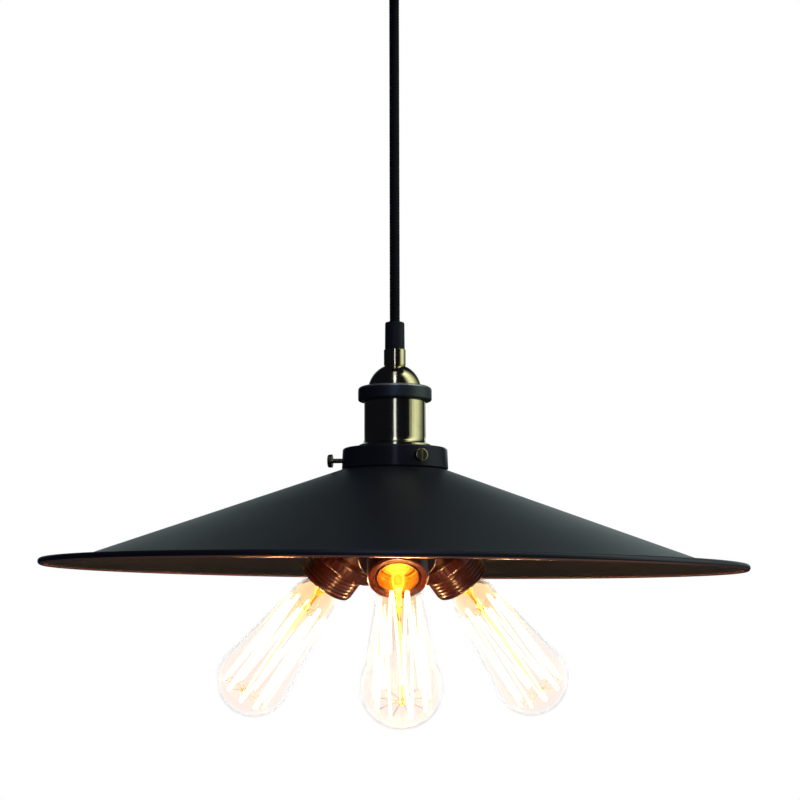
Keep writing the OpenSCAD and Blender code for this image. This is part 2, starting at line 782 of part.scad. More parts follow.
// One nut under the gallery's plate, and one on each side of the cluster's lid
module tube_lock_nuts() {
    color("silver") {
        translate([0, 0, shell_low_z - gallery_wall - nut_t]) hex_nut();
        translate([0, 0, lid_z + cluster_wall]) hex_nut();
        translate([0, 0, lid_z - nut_t]) hex_nut();
    }
}

// One side of the shade's sheet, from the neck's top to the brim's end, sunk by a depth
function shade_side(depth) =
    let(
        slope = tan(cone_slope),
        corner_z = cone_in.y + slope * (cone_in.x - shade_neck_r),
        neck_c = [shade_neck_r + neck_fillet, corner_z + neck_fillet * (1 / cos(cone_slope) - slope)],
        run = brim_fillet * tan((cone_slope - brim_slope) / 2),
        brim_c = cone_out + run * [-cos(cone_slope), sin(cone_slope)]
            + brim_fillet * [sin(cone_slope), cos(cone_slope)]
    )
    concat(
        [[shade_neck_r - depth, shade_drop + shade_neck_h]],
        arc(neck_c, neck_fillet + depth, 180, 270 - cone_slope),
        arc(brim_c, brim_fillet + depth, 270 - cone_slope, 270 - brim_slope),
        [[shade_r - rim_bead_d / 2, brim_end_z - depth]]
    );

// A spun cone with a flat brim, a rolled rim, and a neck with a rolled lip
module shade() {
    color("#2b2c2b") translate([0, 0, rim_z]) union() {
        rotate_extrude() polygon(concat(shade_side(0), reversed(shade_side(shade_t))));
        rotate_extrude() translate([shade_r - rim_bead_d / 2, rim_bead_d / 2]) circle(d = rim_bead_d);
        rotate_extrude() translate([shade_neck_r, shade_drop + shade_neck_h]) circle(d = lip_bead_d);
    }
}

// A flat lid with a skirt that fits into the cluster cup
module cluster_lid() {
    r = cluster_d / 2;
    skirt_r = r - cluster_wall - hole_gap;
    color("#1a1a1a") difference() {
        translate([0, 0, lid_z]) rotate_extrude() polygon([
            [drilled_r, 0], [skirt_r - cluster_wall, 0], [skirt_r - cluster_wall, -lid_skirt],
            [skirt_r, -lid_skirt], [skirt_r, 0], [r, 0], [r, cluster_wall], [drilled_r, cluster_wall]
        ]);
        at_cluster_screws() cylinder(r = cluster_screw_d / 2 + thread_gap, h = cluster_d / 2);
    }
}

// Screws halfway down the lid's skirt and between the arms, with +Z pointing outwards
module at_cluster_screws() {
    for (i = [1:arms])
        translate([0, 0, lid_z - lid_skirt / 2])
            rotate([0, 90, arm_turn + arm_step * (i - 0.5)]) children();
}

// Outline of the cluster cup's filled form, whose cone faces each arm squarely
module cluster_outline(seat_distance, r, floor_z) {
    along = [cos(arm_tilt), sin(arm_tilt)];
    seat = seat_distance * [sin(arm_tilt), -cos(arm_tilt)];
    edge = seat + along * (r - seat.x) / along.x;
    bottom = seat + along * (floor_z - seat.y) / along.y;
    polygon([[0, floor_z], bottom, edge, [r, cluster_top], [0, cluster_top]]);
}

module cluster_cup() {
    r = cluster_d / 2;
    floor_z = -arm_seat - cluster_wall;
    color("#1a1a1a") difference() {
        translate([0, 0, cluster_z]) rotate_extrude() cluster_outline(arm_seat, r, floor_z);
        difference() {
            translate([0, 0, cluster_z]) rotate_extrude()
                cluster_outline(seat_in, r - cluster_wall, floor_z + cluster_wall);
            at_each_arm() translate([0, 0, pad_s]) cylinder(r = pad_r, h = arm_seat);
        }
        at_each_arm() translate([0, 0, -mouth_reach]) cylinder(r = drilled_r, h = mouth_reach);
        at_cluster_screws() cylinder(r = cluster_screw_d / 2 + hole_gap, h = cluster_d);
    }
}

module cluster_screws() {
    head_t = cluster_screw_d / 2;
    head_r = cluster_d / 2 + rest_gap;
    color("silver") at_cluster_screws() translate([0, 0, head_r])
        slotted_screw(cluster_screw_d, 2 * cluster_wall + 1, cluster_screw_head_d, head_t);
}

// Threaded tubes that carry the lampholders on the cluster cup
module arm_nipples() {
    length = holder_thread_end - arm_start;
    color("darkgoldenrod") at_each_arm() translate([0, 0, arm_start]) difference() {
        cylinder(r = thread_r, h = length);
        translate([0, 0, -cut]) cylinder(r = tube_bore_r, h = length + 2 * cut);
    }
}

// A nut inside and a nut outside the cluster cup's wall on each arm
module arm_lock_nuts() {
    color("silver") at_each_arm() {
        translate([0, 0, pad_s - nut_t]) hex_nut();
        translate([0, 0, arm_seat - mouth_reach]) hex_nut();
    }
}

// Two cores down the centre tube, and a pair through each arm to the lampholder's floor
module lamp_leads() {
    offset_r = tube_bore_r - lead_r - rest_gap;
    tube_l = lamp_tail_z - tube_low_z;
    color("saddlebrown") for (side = [-1, 1]) {
        translate([side * offset_r, 0, tube_low_z]) cylinder(r = lead_r, h = tube_l);
        at_each_arm() translate([0, side * offset_r, arm_start])
            cylinder(r = lead_r, h = floor_back - arm_start);
    }
}

// A moulded lampholder: threaded neck, domed back, straight body and a nose for the mouth ring
module lampholder() {
    neck_top = holder_back + holder_neck_l;
    dome_top = neck_top + holder_dome_l;
    neck_r = holder_neck_d / 2;
    dome = [
        for (i = [0:arc_steps])
            let(a = 90 * i / arc_steps)
                [neck_r + (holder_r - neck_r) * sin(a), dome_top - holder_dome_l * cos(a)]
    ];
    nose_s = -mouth_ring_l - rest_gap;
    front_s = -mouth_lip_t - rest_gap;
    wire_room_r = neck_r + 2;
    color("#2a1710") rotate_extrude() polygon(concat(
        [[tapped_r, holder_back], [neck_r, holder_back]], dome,
        [[holder_r, nose_s], [nose_r, nose_s], [nose_r, front_s], [cavity_r, front_s],
         [cavity_r, floor_s], [0, floor_s], [0, floor_back], [wire_room_r, floor_back],
         [wire_room_r, holder_thread_end + rest_gap], [tapped_r, holder_thread_end + rest_gap]]
    ));
}

// A ring that screws on the lampholder's nose, with a front lip, a skirt and a fluted collar
module mouth_ring() {
    collar_r = collar_d / 2;
    seat_r = nose_r + thread_gap;
    back_s = -mouth_ring_l;
    collar_s = back_s + collar_t;
    color("#2a1710") difference() {
        rotate_extrude() polygon([
            [seat_r, back_s], [collar_r - mouth_edge, back_s], [collar_r, back_s + mouth_edge],
            [collar_r, collar_s - mouth_edge], [collar_r - mouth_edge, collar_s],
            [mouth_ring_r, collar_s], [mouth_ring_r, -mouth_edge], [mouth_ring_r - mouth_edge, 0],
            [mouth_d / 2, 0], [mouth_d / 2, -mouth_lip_t], [seat_r, -mouth_lip_t]
        ]);
        for (i = [0:flutes - 1]) rotate(360 * i / flutes)
            translate([collar_r + flute_d / 2 - flute_depth, 0, back_s - cut])
                cylinder(d = flute_d, h = collar_t + 2 * cut, $fn = 24);
    }
}

// The brass shell that takes the bulb's cap, with a foot flange on the lampholder's floor
module screw_shell() {
    in_r = screw_shell_d / 2;
    out_r = in_r + screw_shell_wall;
    foot_r = contact_w + 1;
    color("#b08d45") translate([0, 0, floor_s]) rotate_extrude() polygon([
        [foot_r, 0], [out_r, 0], [out_r, screw_shell_l], [in_r, screw_shell_l],
        [in_r, screw_shell_wall], [foot_r, screw_shell_wall]
    ]);
}

// A sprung brass leaf on the lampholder's floor that rises to the bulb's end contact
module centre_contact() {
    rise = contact_top - floor_s;
    foot = contact_w / 2;
    tip = contact_w / 4;
    color("#b08d45") translate([0, contact_w / 2, floor_s]) rotate([90, 0, 0]) linear_extrude(contact_w)
        polygon([
            [-foot, 0], [-tip, 0], [tip, rise - contact_t], [foot, rise - 2 * contact_t],
            [foot, rise - contact_t], [tip, rise], [-tip, contact_t], [-foot, contact_t]
        ]);
}

// Outline of the glass from the axis outwards, drawn in by an inset
module glass_outline(inset) {
    taper = tan(glass_taper);
    touch = [(bulb_r - inset) * cos(glass_taper), glass_end_s - (bulb_r - inset) * sin(glass_taper)];
    shoulder = [touch.x - taper * (touch.y - glass_shoulder), glass_shoulder];
    root_r = glass_neck_r - inset;
    intersection() {
        union() {
            translate([0, glass_end_s]) circle(r = bulb_r - inset);
            polygon(concat(
                [[0, glass_root + inset], [root_r, glass_root + inset]],
                curve([root_r, bulb_cap_top], [root_r, glass_shoulder / 3], shoulder),
                [touch, [0, touch.y]]
            ));
        }
        translate([0, glass_root - cut]) square([bulb_r + cut, bulb_out_l - glass_root + 2 * cut]);
    }
}

// A blown teardrop envelope, closed at its root round the stem
module bulb_glass() {
    color("#f6e3c4", 0.35) rotate_extrude() difference() {
        glass_outline(0);
        glass_outline(glass_t);
    }
}

// The screw cap's brass sleeve with its conical end
module bulb_cap() {
    cone_s = bulb_tip_s + insulator_l + 1.2;
    sleeve_s = cone_s + bulb_cone_l;
    in_r = bulb_cap_r - bulb_cap_wall;
    hole_r = insulator_d / 2;
    color("#b08d45") rotate_extrude() polygon([
        [in_r, bulb_cap_top], [bulb_cap_r, bulb_cap_top], [bulb_cap_r, sleeve_s], [hole_r, cone_s],
        [hole_r - bulb_cap_wall, cone_s + bulb_cap_wall], [in_r, sleeve_s + bulb_cap_wall]
    ]);
}

// The black insulator with the brass end contact at its middle
module bulb_contact() {
    base_s = bulb_tip_s + insulator_l + 1.2;
    tip_r = bulb_tip_d / 2;
    color("#181818") rotate_extrude() polygon(concat(
        [[0, base_s], [insulator_d / 2, base_s], [tip_r + 1, bulb_tip_s + 1.2], [tip_r, bulb_tip_s + 1.2]],
        curve([tip_r, bulb_tip_s + 0.6], [tip_r * 0.6, bulb_tip_s], [0, bulb_tip_s])
    ));
}

// Angle about the bulb of the upper or lower hook of a given count
function hook_angle(k) = 180 * k / hairpins;
function cage_r(s) = (cage_top_d + (cage_low_d - cage_top_d) * (s - cage_start) / cage_l) / 2;

// The stem: a flared tube on the glass's root, a long rod, and hooks round two buttons
module bulb_mount() {
    root = glass_root + glass_t;
    flare_h = 6;
    button_r = button_d / 2;
    color("#e8d9a0") union() {
        rotate_extrude() polygon(concat(
            [[0, root], [stem_flare_d / 2, root], [stem_flare_d / 2, root + 1]],
            curve([stem_flare_d / 2, root + 1], [stem_d / 2, root + 2], [stem_d / 2, root + flare_h]),
            [[stem_d / 2, cage_start - stem_d], [rod_d / 2, cage_start - button_r],
             [rod_d / 2, cage_end], [0, cage_end]]
        ));
        for (s = [cage_start, cage_end]) translate([0, 0, s]) sphere(r = button_r);
        for (k = [0:2 * hairpins - 1])
            let(s = k % 2 == 0 ? cage_start : cage_end)
                translate([0, 0, s]) rotate([0, 90, hook_angle(k)])
                    cylinder(d = hook_d, h = cage_r(s) - wire_d / 2 - slide_gap);
    }
}

// Route of the filament: a zigzag on a cone that bends over one hook after another
function filament_route() = [
    for (k = [0:2 * hairpins - 1])
        let(upper = k % 2 == 0, s = upper ? cage_start : cage_end, r = cage_r(s))
            for (a = [0:45:180])
                let(turn = hook_angle(k) - wire_bend_r * cos(a) / r * 180 / PI,
                    height = s + (upper ? -1 : 1) * (wire_bend_r * sin(a)))
                    [r * cos(turn), r * sin(turn), height]
];

// Least distance between the surfaces of route points that aren't neighbours on one bend
function least_gap(route, bend_points) = min([
    for (i = [0:len(route) - 1], j = [i + bend_points:1:len(route) - 1]) norm(route[i] - route[j])
]) - wire_d;

module bulb_filament() {
    route = filament_route();
    color("#ffd27a") tube(route, [for (p = route) wire_d / 2], [for (p = route) [p.x, p.y, 0]], wire_sides);
}

echo(filament_least_gap = least_gap(filament_route(), 5));

ceiling_strap();
ceiling_cup();
cup_screws();
rose_grip();
rose_pinch_screw();
rose_lock_nut();
terminal_block();
terminal_ways();
terminal_screws();
earth_screw();
rose_leads();
rose_cord_tail();
cord();
lamp_grip();
lamp_pinch_screw();
lamp_cord_tail();
brass_cap();
union_ring();
brass_shell();
gallery();
centre_tube();
tube_lock_nuts();
shade();
cluster_lid();
cluster_cup();
cluster_screws();
arm_nipples();
arm_lock_nuts();
lamp_leads();
for (i = [1:arms]) {
    thumbscrew(i);
    at_arm(i) lampholder();
    at_arm(i) mouth_ring();
    at_arm(i) screw_shell();
    at_arm(i) centre_contact();
    at_arm(i) bulb_glass();
    at_arm(i) bulb_cap();
    at_arm(i) bulb_contact();
    at_arm(i) bulb_mount();
    at_arm(i) bulb_filament();
}
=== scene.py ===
"""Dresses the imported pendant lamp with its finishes, bulbs and cord, and sets a white studio round it."""

import json
import math

import bmesh
import bpy
from bpy.props import FloatProperty, FloatVectorProperty, IntProperty, PointerProperty
from mathutils import Matrix, Vector


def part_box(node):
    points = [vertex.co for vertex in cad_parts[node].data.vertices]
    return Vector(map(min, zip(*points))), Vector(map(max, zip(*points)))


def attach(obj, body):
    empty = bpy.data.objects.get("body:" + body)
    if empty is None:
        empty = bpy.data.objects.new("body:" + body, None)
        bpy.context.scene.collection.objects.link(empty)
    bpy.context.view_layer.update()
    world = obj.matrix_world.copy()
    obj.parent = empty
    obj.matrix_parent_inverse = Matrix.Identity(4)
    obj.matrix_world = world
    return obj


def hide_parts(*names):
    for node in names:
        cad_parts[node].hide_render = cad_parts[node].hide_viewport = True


bl_info = {
    "name": "Pendant lamp",
    "version": (1, 0, 0),
    "blender": (4, 5, 0),
    "location": "View3D > Sidebar > Lamp",
    "description": "Makes the visible pieces and finishes of an industrial pendant lamp",
    "category": "Object",
}

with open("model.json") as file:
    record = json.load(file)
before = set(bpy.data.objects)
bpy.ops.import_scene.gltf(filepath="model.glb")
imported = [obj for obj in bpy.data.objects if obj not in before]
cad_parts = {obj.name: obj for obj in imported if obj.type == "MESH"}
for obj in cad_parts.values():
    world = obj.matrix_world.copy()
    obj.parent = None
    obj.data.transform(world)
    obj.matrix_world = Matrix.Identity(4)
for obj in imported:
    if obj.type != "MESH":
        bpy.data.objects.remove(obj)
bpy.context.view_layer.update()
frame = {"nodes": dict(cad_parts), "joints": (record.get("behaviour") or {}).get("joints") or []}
MM = 0.001
ARMS = (1, 2, 3)
AXIS = {joint["name"]: Vector(joint["axis"]) for joint in frame["joints"]}


def low(node):
    """Lowest corner of a node, in millimetres."""
    return Vector(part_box(node)[0]) / MM


def high(node):
    """Highest corner of a node, in millimetres."""
    return Vector(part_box(node)[1]) / MM


def along_z(distance):
    """A move along Z by a distance in millimetres."""
    return Matrix.Translation((0, 0, distance * MM))


OUTLET_Z = low("rose_grip").z
LAMP_TOP_Z = high("lamp_grip").z
CAP_TOP_Z = high("brass_cap").z
RING_TOP_Z = high("union_ring").z
RING_LOW_Z = low("union_ring").z
SHELL_LOW_Z = low("brass_shell").z
GALLERY_LOW_Z = low("gallery").z
RIM_Z = low("shade").z


class LampSizes(bpy.types.PropertyGroup):
    """Sizes of the lamp's fine detail, in millimetres where no unit is named."""

    cord_d: FloatProperty(name="Cord", description="Diameter of the braided cord", default=6.2)
    cord_strands: IntProperty(
        name="Braid strands", description="Strands each way round the cord", default=8)
    cord_pitch: FloatProperty(
        name="Braid pitch", description="Length of one turn of a strand", default=17.0)
    shade_lean: FloatProperty(
        name="Shade lean", description="How far the shade sits askew on its screws", subtype="ANGLE",
        default=math.radians(0.69))
    cluster_drop: FloatProperty(
        name="Cluster depth", description="Depth of the arms' meeting point under the gallery", default=12.5)
    arm_reach: FloatProperty(
        name="Arm reach", description="Distance from the meeting point to a lampholder's mouth", default=79.3)
    ribs: IntProperty(name="Collar ribs", description="Ribs round a lampholder's collar", default=44)
    thread_pitch: FloatProperty(
        name="Screw pitch", description="Pitch of the bulbs' round thread", default=3.63)
    bulb_d: FloatProperty(name="Bulb", description="Largest diameter of a bulb", default=56.0)
    bulb_out: FloatProperty(name="Bulb length", description="Glass in front of the mouth", default=112.0)
    glass_t: FloatProperty(name="Glass", description="Thickness of the glass", default=0.9)
    hairpins: IntProperty(name="Hairpins", description="Hairpins of the filament cage", default=9)
    wire_d: FloatProperty(name="Filament wire", description="Diameter of the glowing wire", default=1.3)
    cage_top_d: FloatProperty(
        name="Cage top", description="Diameter of the cage at its upper hooks", default=27.0)
    cage_low_d: FloatProperty(
        name="Cage end", description="Diameter of the cage at its lower hooks", default=33.0)
    cage_start: FloatProperty(
        name="Cage start", description="Upper hooks in front of the mouth", default=22.0)
    cage_l: FloatProperty(name="Cage length", description="Length of the cage", default=73.0)


class LampColours(bpy.types.PropertyGroup):
    """Colours of the finishes, in linear light."""

    shade: FloatVectorProperty(
        name="Shade", description="Matte charcoal paint", subtype="COLOR", default=(0.014, 0.0165, 0.016))
    brass: FloatVectorProperty(
        name="Antique brass", description="Brushed cap and shell", subtype="COLOR", default=(0.6, 0.53, 0.27))
    dark_brass: FloatVectorProperty(
        name="Dark brass", description="Union ring", subtype="COLOR", default=(0.05, 0.062, 0.058))
    plain_brass: FloatVectorProperty(
        name="Plain brass", description="Caps, shells and tubes", subtype="COLOR", default=(0.72, 0.5, 0.2))
    black: FloatVectorProperty(
        name="Satin black", description="Gallery, rose and cluster", subtype="COLOR",
        default=(0.026, 0.0275, 0.028))
    braid: FloatVectorProperty(
        name="Cord braid", description="Woven cord cover", subtype="COLOR", default=(0.007, 0.008, 0.0085))
    bakelite: FloatVectorProperty(
        name="Bakelite", description="Lampholders", subtype="COLOR", default=(0.07, 0.011, 0.001))
    glass: FloatVectorProperty(
        name="Bulb glass", description="Faint amber tint", subtype="COLOR", default=(1.0, 0.92, 0.865))
    glow: FloatVectorProperty(
        name="Filament glow", description="Light of the wire", subtype="COLOR", default=(1.0, 0.52, 0.15))


class Wire:
    """One value in a node tree, which Python's operators combine through Math nodes."""

    def __init__(self, sheet, socket):
        self.sheet = sheet
        self.socket = socket

    def math(self, operation, other=0.0, swapped=False):
        pair = (other, self) if swapped else (self, other)
        return self.sheet.wire("ShaderNodeMath", {0: pair[0], 1: pair[1]}, {"operation": operation})

    def __add__(self, other):
        return self.math("ADD", other)

    def __sub__(self, other):
        return self.math("SUBTRACT", other)

    def __rsub__(self, other):
        return self.math("SUBTRACT", other, True)

    def __mul__(self, other):
        return self.math("MULTIPLY", other)

    def __truediv__(self, other):
        return self.math("DIVIDE", other)

    def __mod__(self, other):
        return self.math("FLOORED_MODULO", other)


class Sheet:
    """A node tree while its nodes are being added."""

    def __init__(self, tree):
        self.tree = tree

    def add(self, kind, values=None, settings=None):
        """A node of one type, with its settings made first and then its sockets' values or links."""
        node = self.tree.nodes.new(kind)
        for name, setting in (settings or {}).items():
            setattr(node, name, setting)
        for key, value in (values or {}).items():
            self.feed(node.inputs[key], value)
        return node

    def feed(self, socket, value):
        if isinstance(value, Wire):
            self.tree.links.new(value.socket, socket)
        elif socket.type == "RGBA" and len(value) == 3:
            socket.default_value = (*value, 1.0)
        else:
            socket.default_value = value

    def wire(self, kind, values=None, settings=None, output=0):
        """The chosen output of a new node."""
        return Wire(self, self.add(kind, values, settings).outputs[output])

    def ease(self, value, start, end):
        """Rises smoothly from 0 to 1 between two values."""
        limits = {"Value": value, "From Min": start, "From Max": end}
        return self.wire("ShaderNodeMapRange", limits, {"interpolation_type": "SMOOTHSTEP"})

    def blend(self, factor, first, second):
        """A colour between two colours."""
        colours = {"Factor": factor, 6: first, 7: second}
        return self.wire("ShaderNodeMix", colours, {"data_type": "RGBA"}, output=2)

    def split(self, vector):
        """The X, Y and Z of a vector."""
        parts = self.add("ShaderNodeSeparateXYZ", {"Vector": vector})
        return [Wire(self, output) for output in parts.outputs]


class Finish(Sheet):
    """A material that is built round one Principled shader."""

    def __init__(self, name, **constants):
        self.material = bpy.data.materials.new(name)
        self.material.use_nodes = True
        super().__init__(self.material.node_tree)
        self.shader = self.tree.nodes["Principled BSDF"]
        for socket, value in constants.items():
            self.set(socket.replace("_", " "), value)

    def set(self, socket, value):
        self.feed(self.shader.inputs[socket], value)

    def spot(self):
        """The object's own coordinates, in metres."""
        return self.wire("ShaderNodeTexCoord", output="Object")

    def noise(self, scale, detail=2.0, roughness=0.5):
        """Noise over the object between 0 and 1, with a scale per metre on each axis."""
        place = self.wire("ShaderNodeMapping", {"Vector": self.spot(), "Scale": scale})
        return self.wire("ShaderNodeTexNoise", {
            "Vector": place, "Scale": 1.0, "Detail": detail, "Roughness": roughness})

    def turned_lines(self):
        """Fine lines round the lathe's axis, between 0 and 1, with a slight relief."""
        lines = self.noise((18, 18, 5200), 2.0, 0.6)
        self.bump(lines, 0.03, 0.00003)
        return lines

    def between(self, factor, first, second):
        """A number between two numbers."""
        return factor * (second - first) + first

    def bump(self, height, strength, distance):
        relief = {"Height": height, "Strength": strength, "Distance": distance}
        self.set("Normal", self.wire("ShaderNodeBump", relief))


def tone(colour, factor):
    """A colour made lighter or darker."""
    return tuple(channel * factor for channel in colour)


def shade_paint(name, colour):
    """Matte charcoal powder coat with a fine grain; under the rolled rim it turns to smooth orange metal, a
    painted highlight colour for the bulbs' glint there, which the bulb lights brighten by real reflection.
    """
    rim_glint_colour = (0.95, 0.42, 0.31)
    finish = Finish(name, Specular_IOR_Level=0.42)
    cloud = finish.noise((14, 14, 14), 3.0)
    grain = finish.noise((1500, 1500, 1500), 1.0)
    x, _, z = finish.split(finish.spot())
    height = z + x * math.tan(bpy.context.scene.lamp_sizes.shade_lean)
    # Painted highlight: the orange metal band under the rim stands in for the bulbs' glint on the rolled rim.
    rim = 1.0 - finish.ease(height, (RIM_Z + 0.5) * MM, (RIM_Z + 1.2) * MM)
    paint = finish.blend(cloud, tone(colour, 0.8), tone(colour, 1.25))
    finish.set("Base Color", finish.blend(rim, paint, rim_glint_colour))
    finish.set("Metallic", rim)
    finish.set("Roughness", finish.between(cloud, 0.4, 0.52) * (1.0 - rim * 0.6))
    finish.bump(grain * (1.0 - rim), 0.12, 0.0002)
    return finish.material


def brushed_metal(name, colour, rough, streak):
    """Metal turned on a lathe: fine lines run round the axis, with older, darker patches."""
    finish = Finish(name, Metallic=1.0)
    lines = finish.turned_lines()
    patina = finish.noise((70, 70, 120), 4.0, 0.6)
    aged = finish.blend(patina, tone(colour, 0.72), tone(colour, 1.18))
    finish.set("Base Color", finish.blend(lines * 0.35, aged, tone(colour, 0.62)))
    finish.set("Roughness", finish.between(lines, rough, rough + streak))
    return finish.material


def rubbed_metal(name, colour, bright):
    """Dark bronzed metal with turned lines, rubbed bright along the union ring's upper edge."""
    finish = Finish(name, Metallic=0.7)
    lines = finish.turned_lines()
    _, _, z = finish.split(finish.spot())
    worn = finish.ease(z, (RING_TOP_Z - 1.9) * MM, (RING_TOP_Z - 0.8) * MM)
    dark = finish.blend(lines, tone(colour, 0.8), tone(colour, 1.2))
    finish.set("Base Color", finish.blend(worn, dark, bright))
    finish.set("Roughness", finish.between(lines, 0.4, 0.52) - worn * 0.2)
    return finish.material


def plain_metal(name, colour, rough):
    """Machined metal with faint handling marks."""
    finish = Finish(name, Metallic=1.0)
    marks = finish.noise((260, 260, 260), 4.0, 0.65)
    finish.set("Base Color", finish.blend(marks, tone(colour, 0.8), tone(colour, 1.1)))
    finish.set("Roughness", finish.between(marks, rough * 0.8, rough * 1.3))
    return finish.material


def moulded(name, colour, rough, coat, gloss=0.5):
    """Moulded plastic or satin paint with a fine skin."""
    finish = Finish(name, Coat_Weight=coat, Coat_Roughness=0.1, Specular_IOR_Level=gloss)
    cloud = finish.noise((45, 45, 45), 3.0)
    skin = finish.noise((900, 900, 900), 2.0)
    finish.set("Base Color", finish.blend(cloud, tone(colour, 0.75), tone(colour, 1.3)))
    finish.set("Roughness", finish.between(cloud, rough * 0.85, rough * 1.15))
    finish.bump(skin, 0.08, 0.0001)
    return finish.material


def cord_braid(name, colour):
    """Woven textile: thread lines along each strand, from the cord's own UV map."""
    finish = Finish(name, Specular_IOR_Level=0.2)
    place = finish.wire("ShaderNodeUVMap", settings={"uv_map": "cord"})
    fibres = finish.wire(
        "ShaderNodeTexNoise", {"Vector": place, "Scale": 60.0, "Detail": 2.0, "Roughness": 0.6})
    finish.set("Base Color", finish.blend(fibres, tone(colour, 0.6), tone(colour, 1.6)))
    finish.set("Roughness", finish.between(fibres, 0.75, 0.95))
    return finish.material


def painted_neck_glow(finish, start, end):
    """The ramp of a painted glow near a bulb's neck: it rises from 0 to 1 up a bulb, between two distances in
    millimetres under its glass's upper end.
    """
    _, _, z = finish.split(finish.spot())
    top = high("bulb_glass_1").z
    return finish.ease(z, (top - start) * MM, (top - end) * MM)


def clear_glass(name, colour):
    """Thin blown glass: a tint that fades at the outline, a painted warm glow in the tint towards the neck,
    and slow waves.
    """
    finish = Finish(name, Transmission_Weight=1.0, IOR=1.15, Roughness=0.0)
    warm = (1.0, 0.8, 0.52)
    outline = (1.0, 0.98, 0.97)
    # Painted glow: the warmer tint towards the neck stands in for the filament's light, not a colour of the
    # glass.
    body = finish.blend(painted_neck_glow(finish, 60, 15), colour, warm)
    edge = finish.wire("ShaderNodeLayerWeight", {"Blend": 0.5}, output="Facing")
    finish.set("Base Color", finish.blend(edge, body, outline))
    finish.set("Alpha", 1.0 - finish.ease(edge, 0.25, 0.62))
    waves = finish.noise((38, 38, 38), 1.0)
    finish.bump(waves, 0.06, 0.0006)
    return finish.material


def painted_glow_glass(name, colour):
    """The stem's solid glass, with a painted amber glow towards the neck that stands in for the wire's light
    filling it.
    """
    finish = Finish(name, Transmission_Weight=1.0, IOR=1.45, Roughness=0.05, Emission_Strength=0.9)
    dark = (0.0, 0.0, 0.0)
    amber = (1.0, 0.3, 0.015)
    waves = finish.noise((300, 300, 120), 2.0)
    painted_stem_glow = painted_neck_glow(finish, 48, 18) * finish.between(waves, 0.6, 1.3)
    finish.set("Base Color", colour)
    # Painted glow: the stem is no lamp; its emission stands in for the filament's light caught in the glass.
    finish.set("Emission Color", finish.blend(painted_stem_glow, dark, amber))
    return finish.material


def glowing_wire(name, colour):
    """White-hot wire that is cooler and redder in small uneven stretches."""
    finish = Finish(name, Roughness=0.5, Emission_Strength=12.5)
    hottest = (1.0, 0.66, 0.28)
    heat = finish.noise((90, 90, 90), 2.0)
    finish.set("Base Color", tone(colour, 0.6))
    finish.set("Emission Color", finish.blend(heat, colour, hottest))
    return finish.material


def stand(name, data):
    """A new object in the scene."""
    holder = bpy.data.objects.new(name, data)
    bpy.context.scene.collection.objects.link(holder)
    return holder


def link(name, mesh, material):
    """A new object in the scene with one material."""
    mesh.materials.clear()
    mesh.materials.append(material)
    return stand(name, mesh)


def smooth(mesh):
    """Smooth shading, apart from edges that turn by more than 35 degrees."""
    mesh.shade_smooth()
    mesh.set_sharp_from_angle(angle=math.radians(35))


def spread(start, end, count):
    """Values at even steps from a start to an end."""
    return [start + (end - start) * k / count for k in range(count + 1)]


def arc(centre, radius, start, end, steps):
    """Points of an arc in degrees about a centre."""
    points = []
    for degrees in spread(start, end, steps):
        a = math.radians(degrees)
        points.append((centre[0] + radius * math.cos(a), centre[1] + radius * math.sin(a)))
    return points


def soft_corner(start, corner, end, steps):
    """Points of a curve that leaves its start towards a corner and comes from there to its end."""
    points = []
    for t in spread(0.0, 1.0, steps):
        point = (1 - t) ** 2 * start + 2 * t * (1 - t) * corner + t ** 2 * end
        points.append((point.x, point.y))
    return points


def rounded(corners, steps):
    """A closed outline whose corners (r, z, radius) are rounded by curves that touch both sides."""
    outline = []
    for i, (r, z, radius) in enumerate(corners):
        here = Vector((r, z))
        to_last = Vector(corners[i - 1][:2]) - here
        to_next = Vector(corners[(i + 1) % len(corners)][:2]) - here
        if radius <= 0 or to_last.length == 0 or to_next.length == 0:
            outline.append((r, z))
            continue
        half = to_last.angle(to_next) / 2
        run = min(radius / math.tan(half), to_last.length * 0.49, to_next.length * 0.49)
        start = here + to_last.normalized() * run
        end = here + to_next.normalized() * run
        outline += soft_corner(start, here, end, steps)
    return outline


def neighbours(items):
    """Each item with the one after it, and the last with the first."""
    return zip(items, items[1:] + items[:1])


def plain_mesh(shape, name):
    """The mesh of a finished bmesh, which is then freed."""
    mesh = bpy.data.meshes.new(name)
    shape.to_mesh(mesh)
    shape.free()
    return mesh


def lathe(outline, segments, place=Matrix.Identity(4), twist=None):
    """A mesh turned about the local Z axis from a closed outline of (r, z) in millimetres.

    twist may change a point's radius by its angle and height, as a thread does.
    """
    shape = bmesh.new()
    rings = []
    for k in range(segments):
        a = math.tau * k / segments
        ring = []
        for r, z in outline:
            radius = twist(r, z, a) if twist else r
            point = Vector((radius * math.cos(a), radius * math.sin(a), z)) * MM
            ring.append(shape.verts.new(place @ point))
        rings.append(ring)
    for ring, following in neighbours(rings):
        for (here, after), (across, beyond) in zip(neighbours(ring), neighbours(following)):
            shape.faces.new((here, across, beyond, after))
    bmesh.ops.remove_doubles(shape, verts=shape.verts, dist=1e-7)
    bmesh.ops.dissolve_degenerate(shape, edges=shape.edges, dist=1e-8)
    bmesh.ops.recalc_face_normals(shape, faces=shape.faces)
    mesh = plain_mesh(shape, "turned")
    smooth(mesh)
    return mesh


def threaded(pitch, depth, sink, carries):
    """A change of radius along a screw thread, for those points of an outline that carry it."""

    def twist(r, z, a):
        if not carries(r, z):
            return r
        return r + depth * math.cos(math.tau * z / pitch - a) - sink
    return twist


def join_meshes(meshes):
    """One mesh made of several."""
    shape = bmesh.new()
    for mesh in meshes:
        shape.from_mesh(mesh)
    return plain_mesh(shape, "joined")


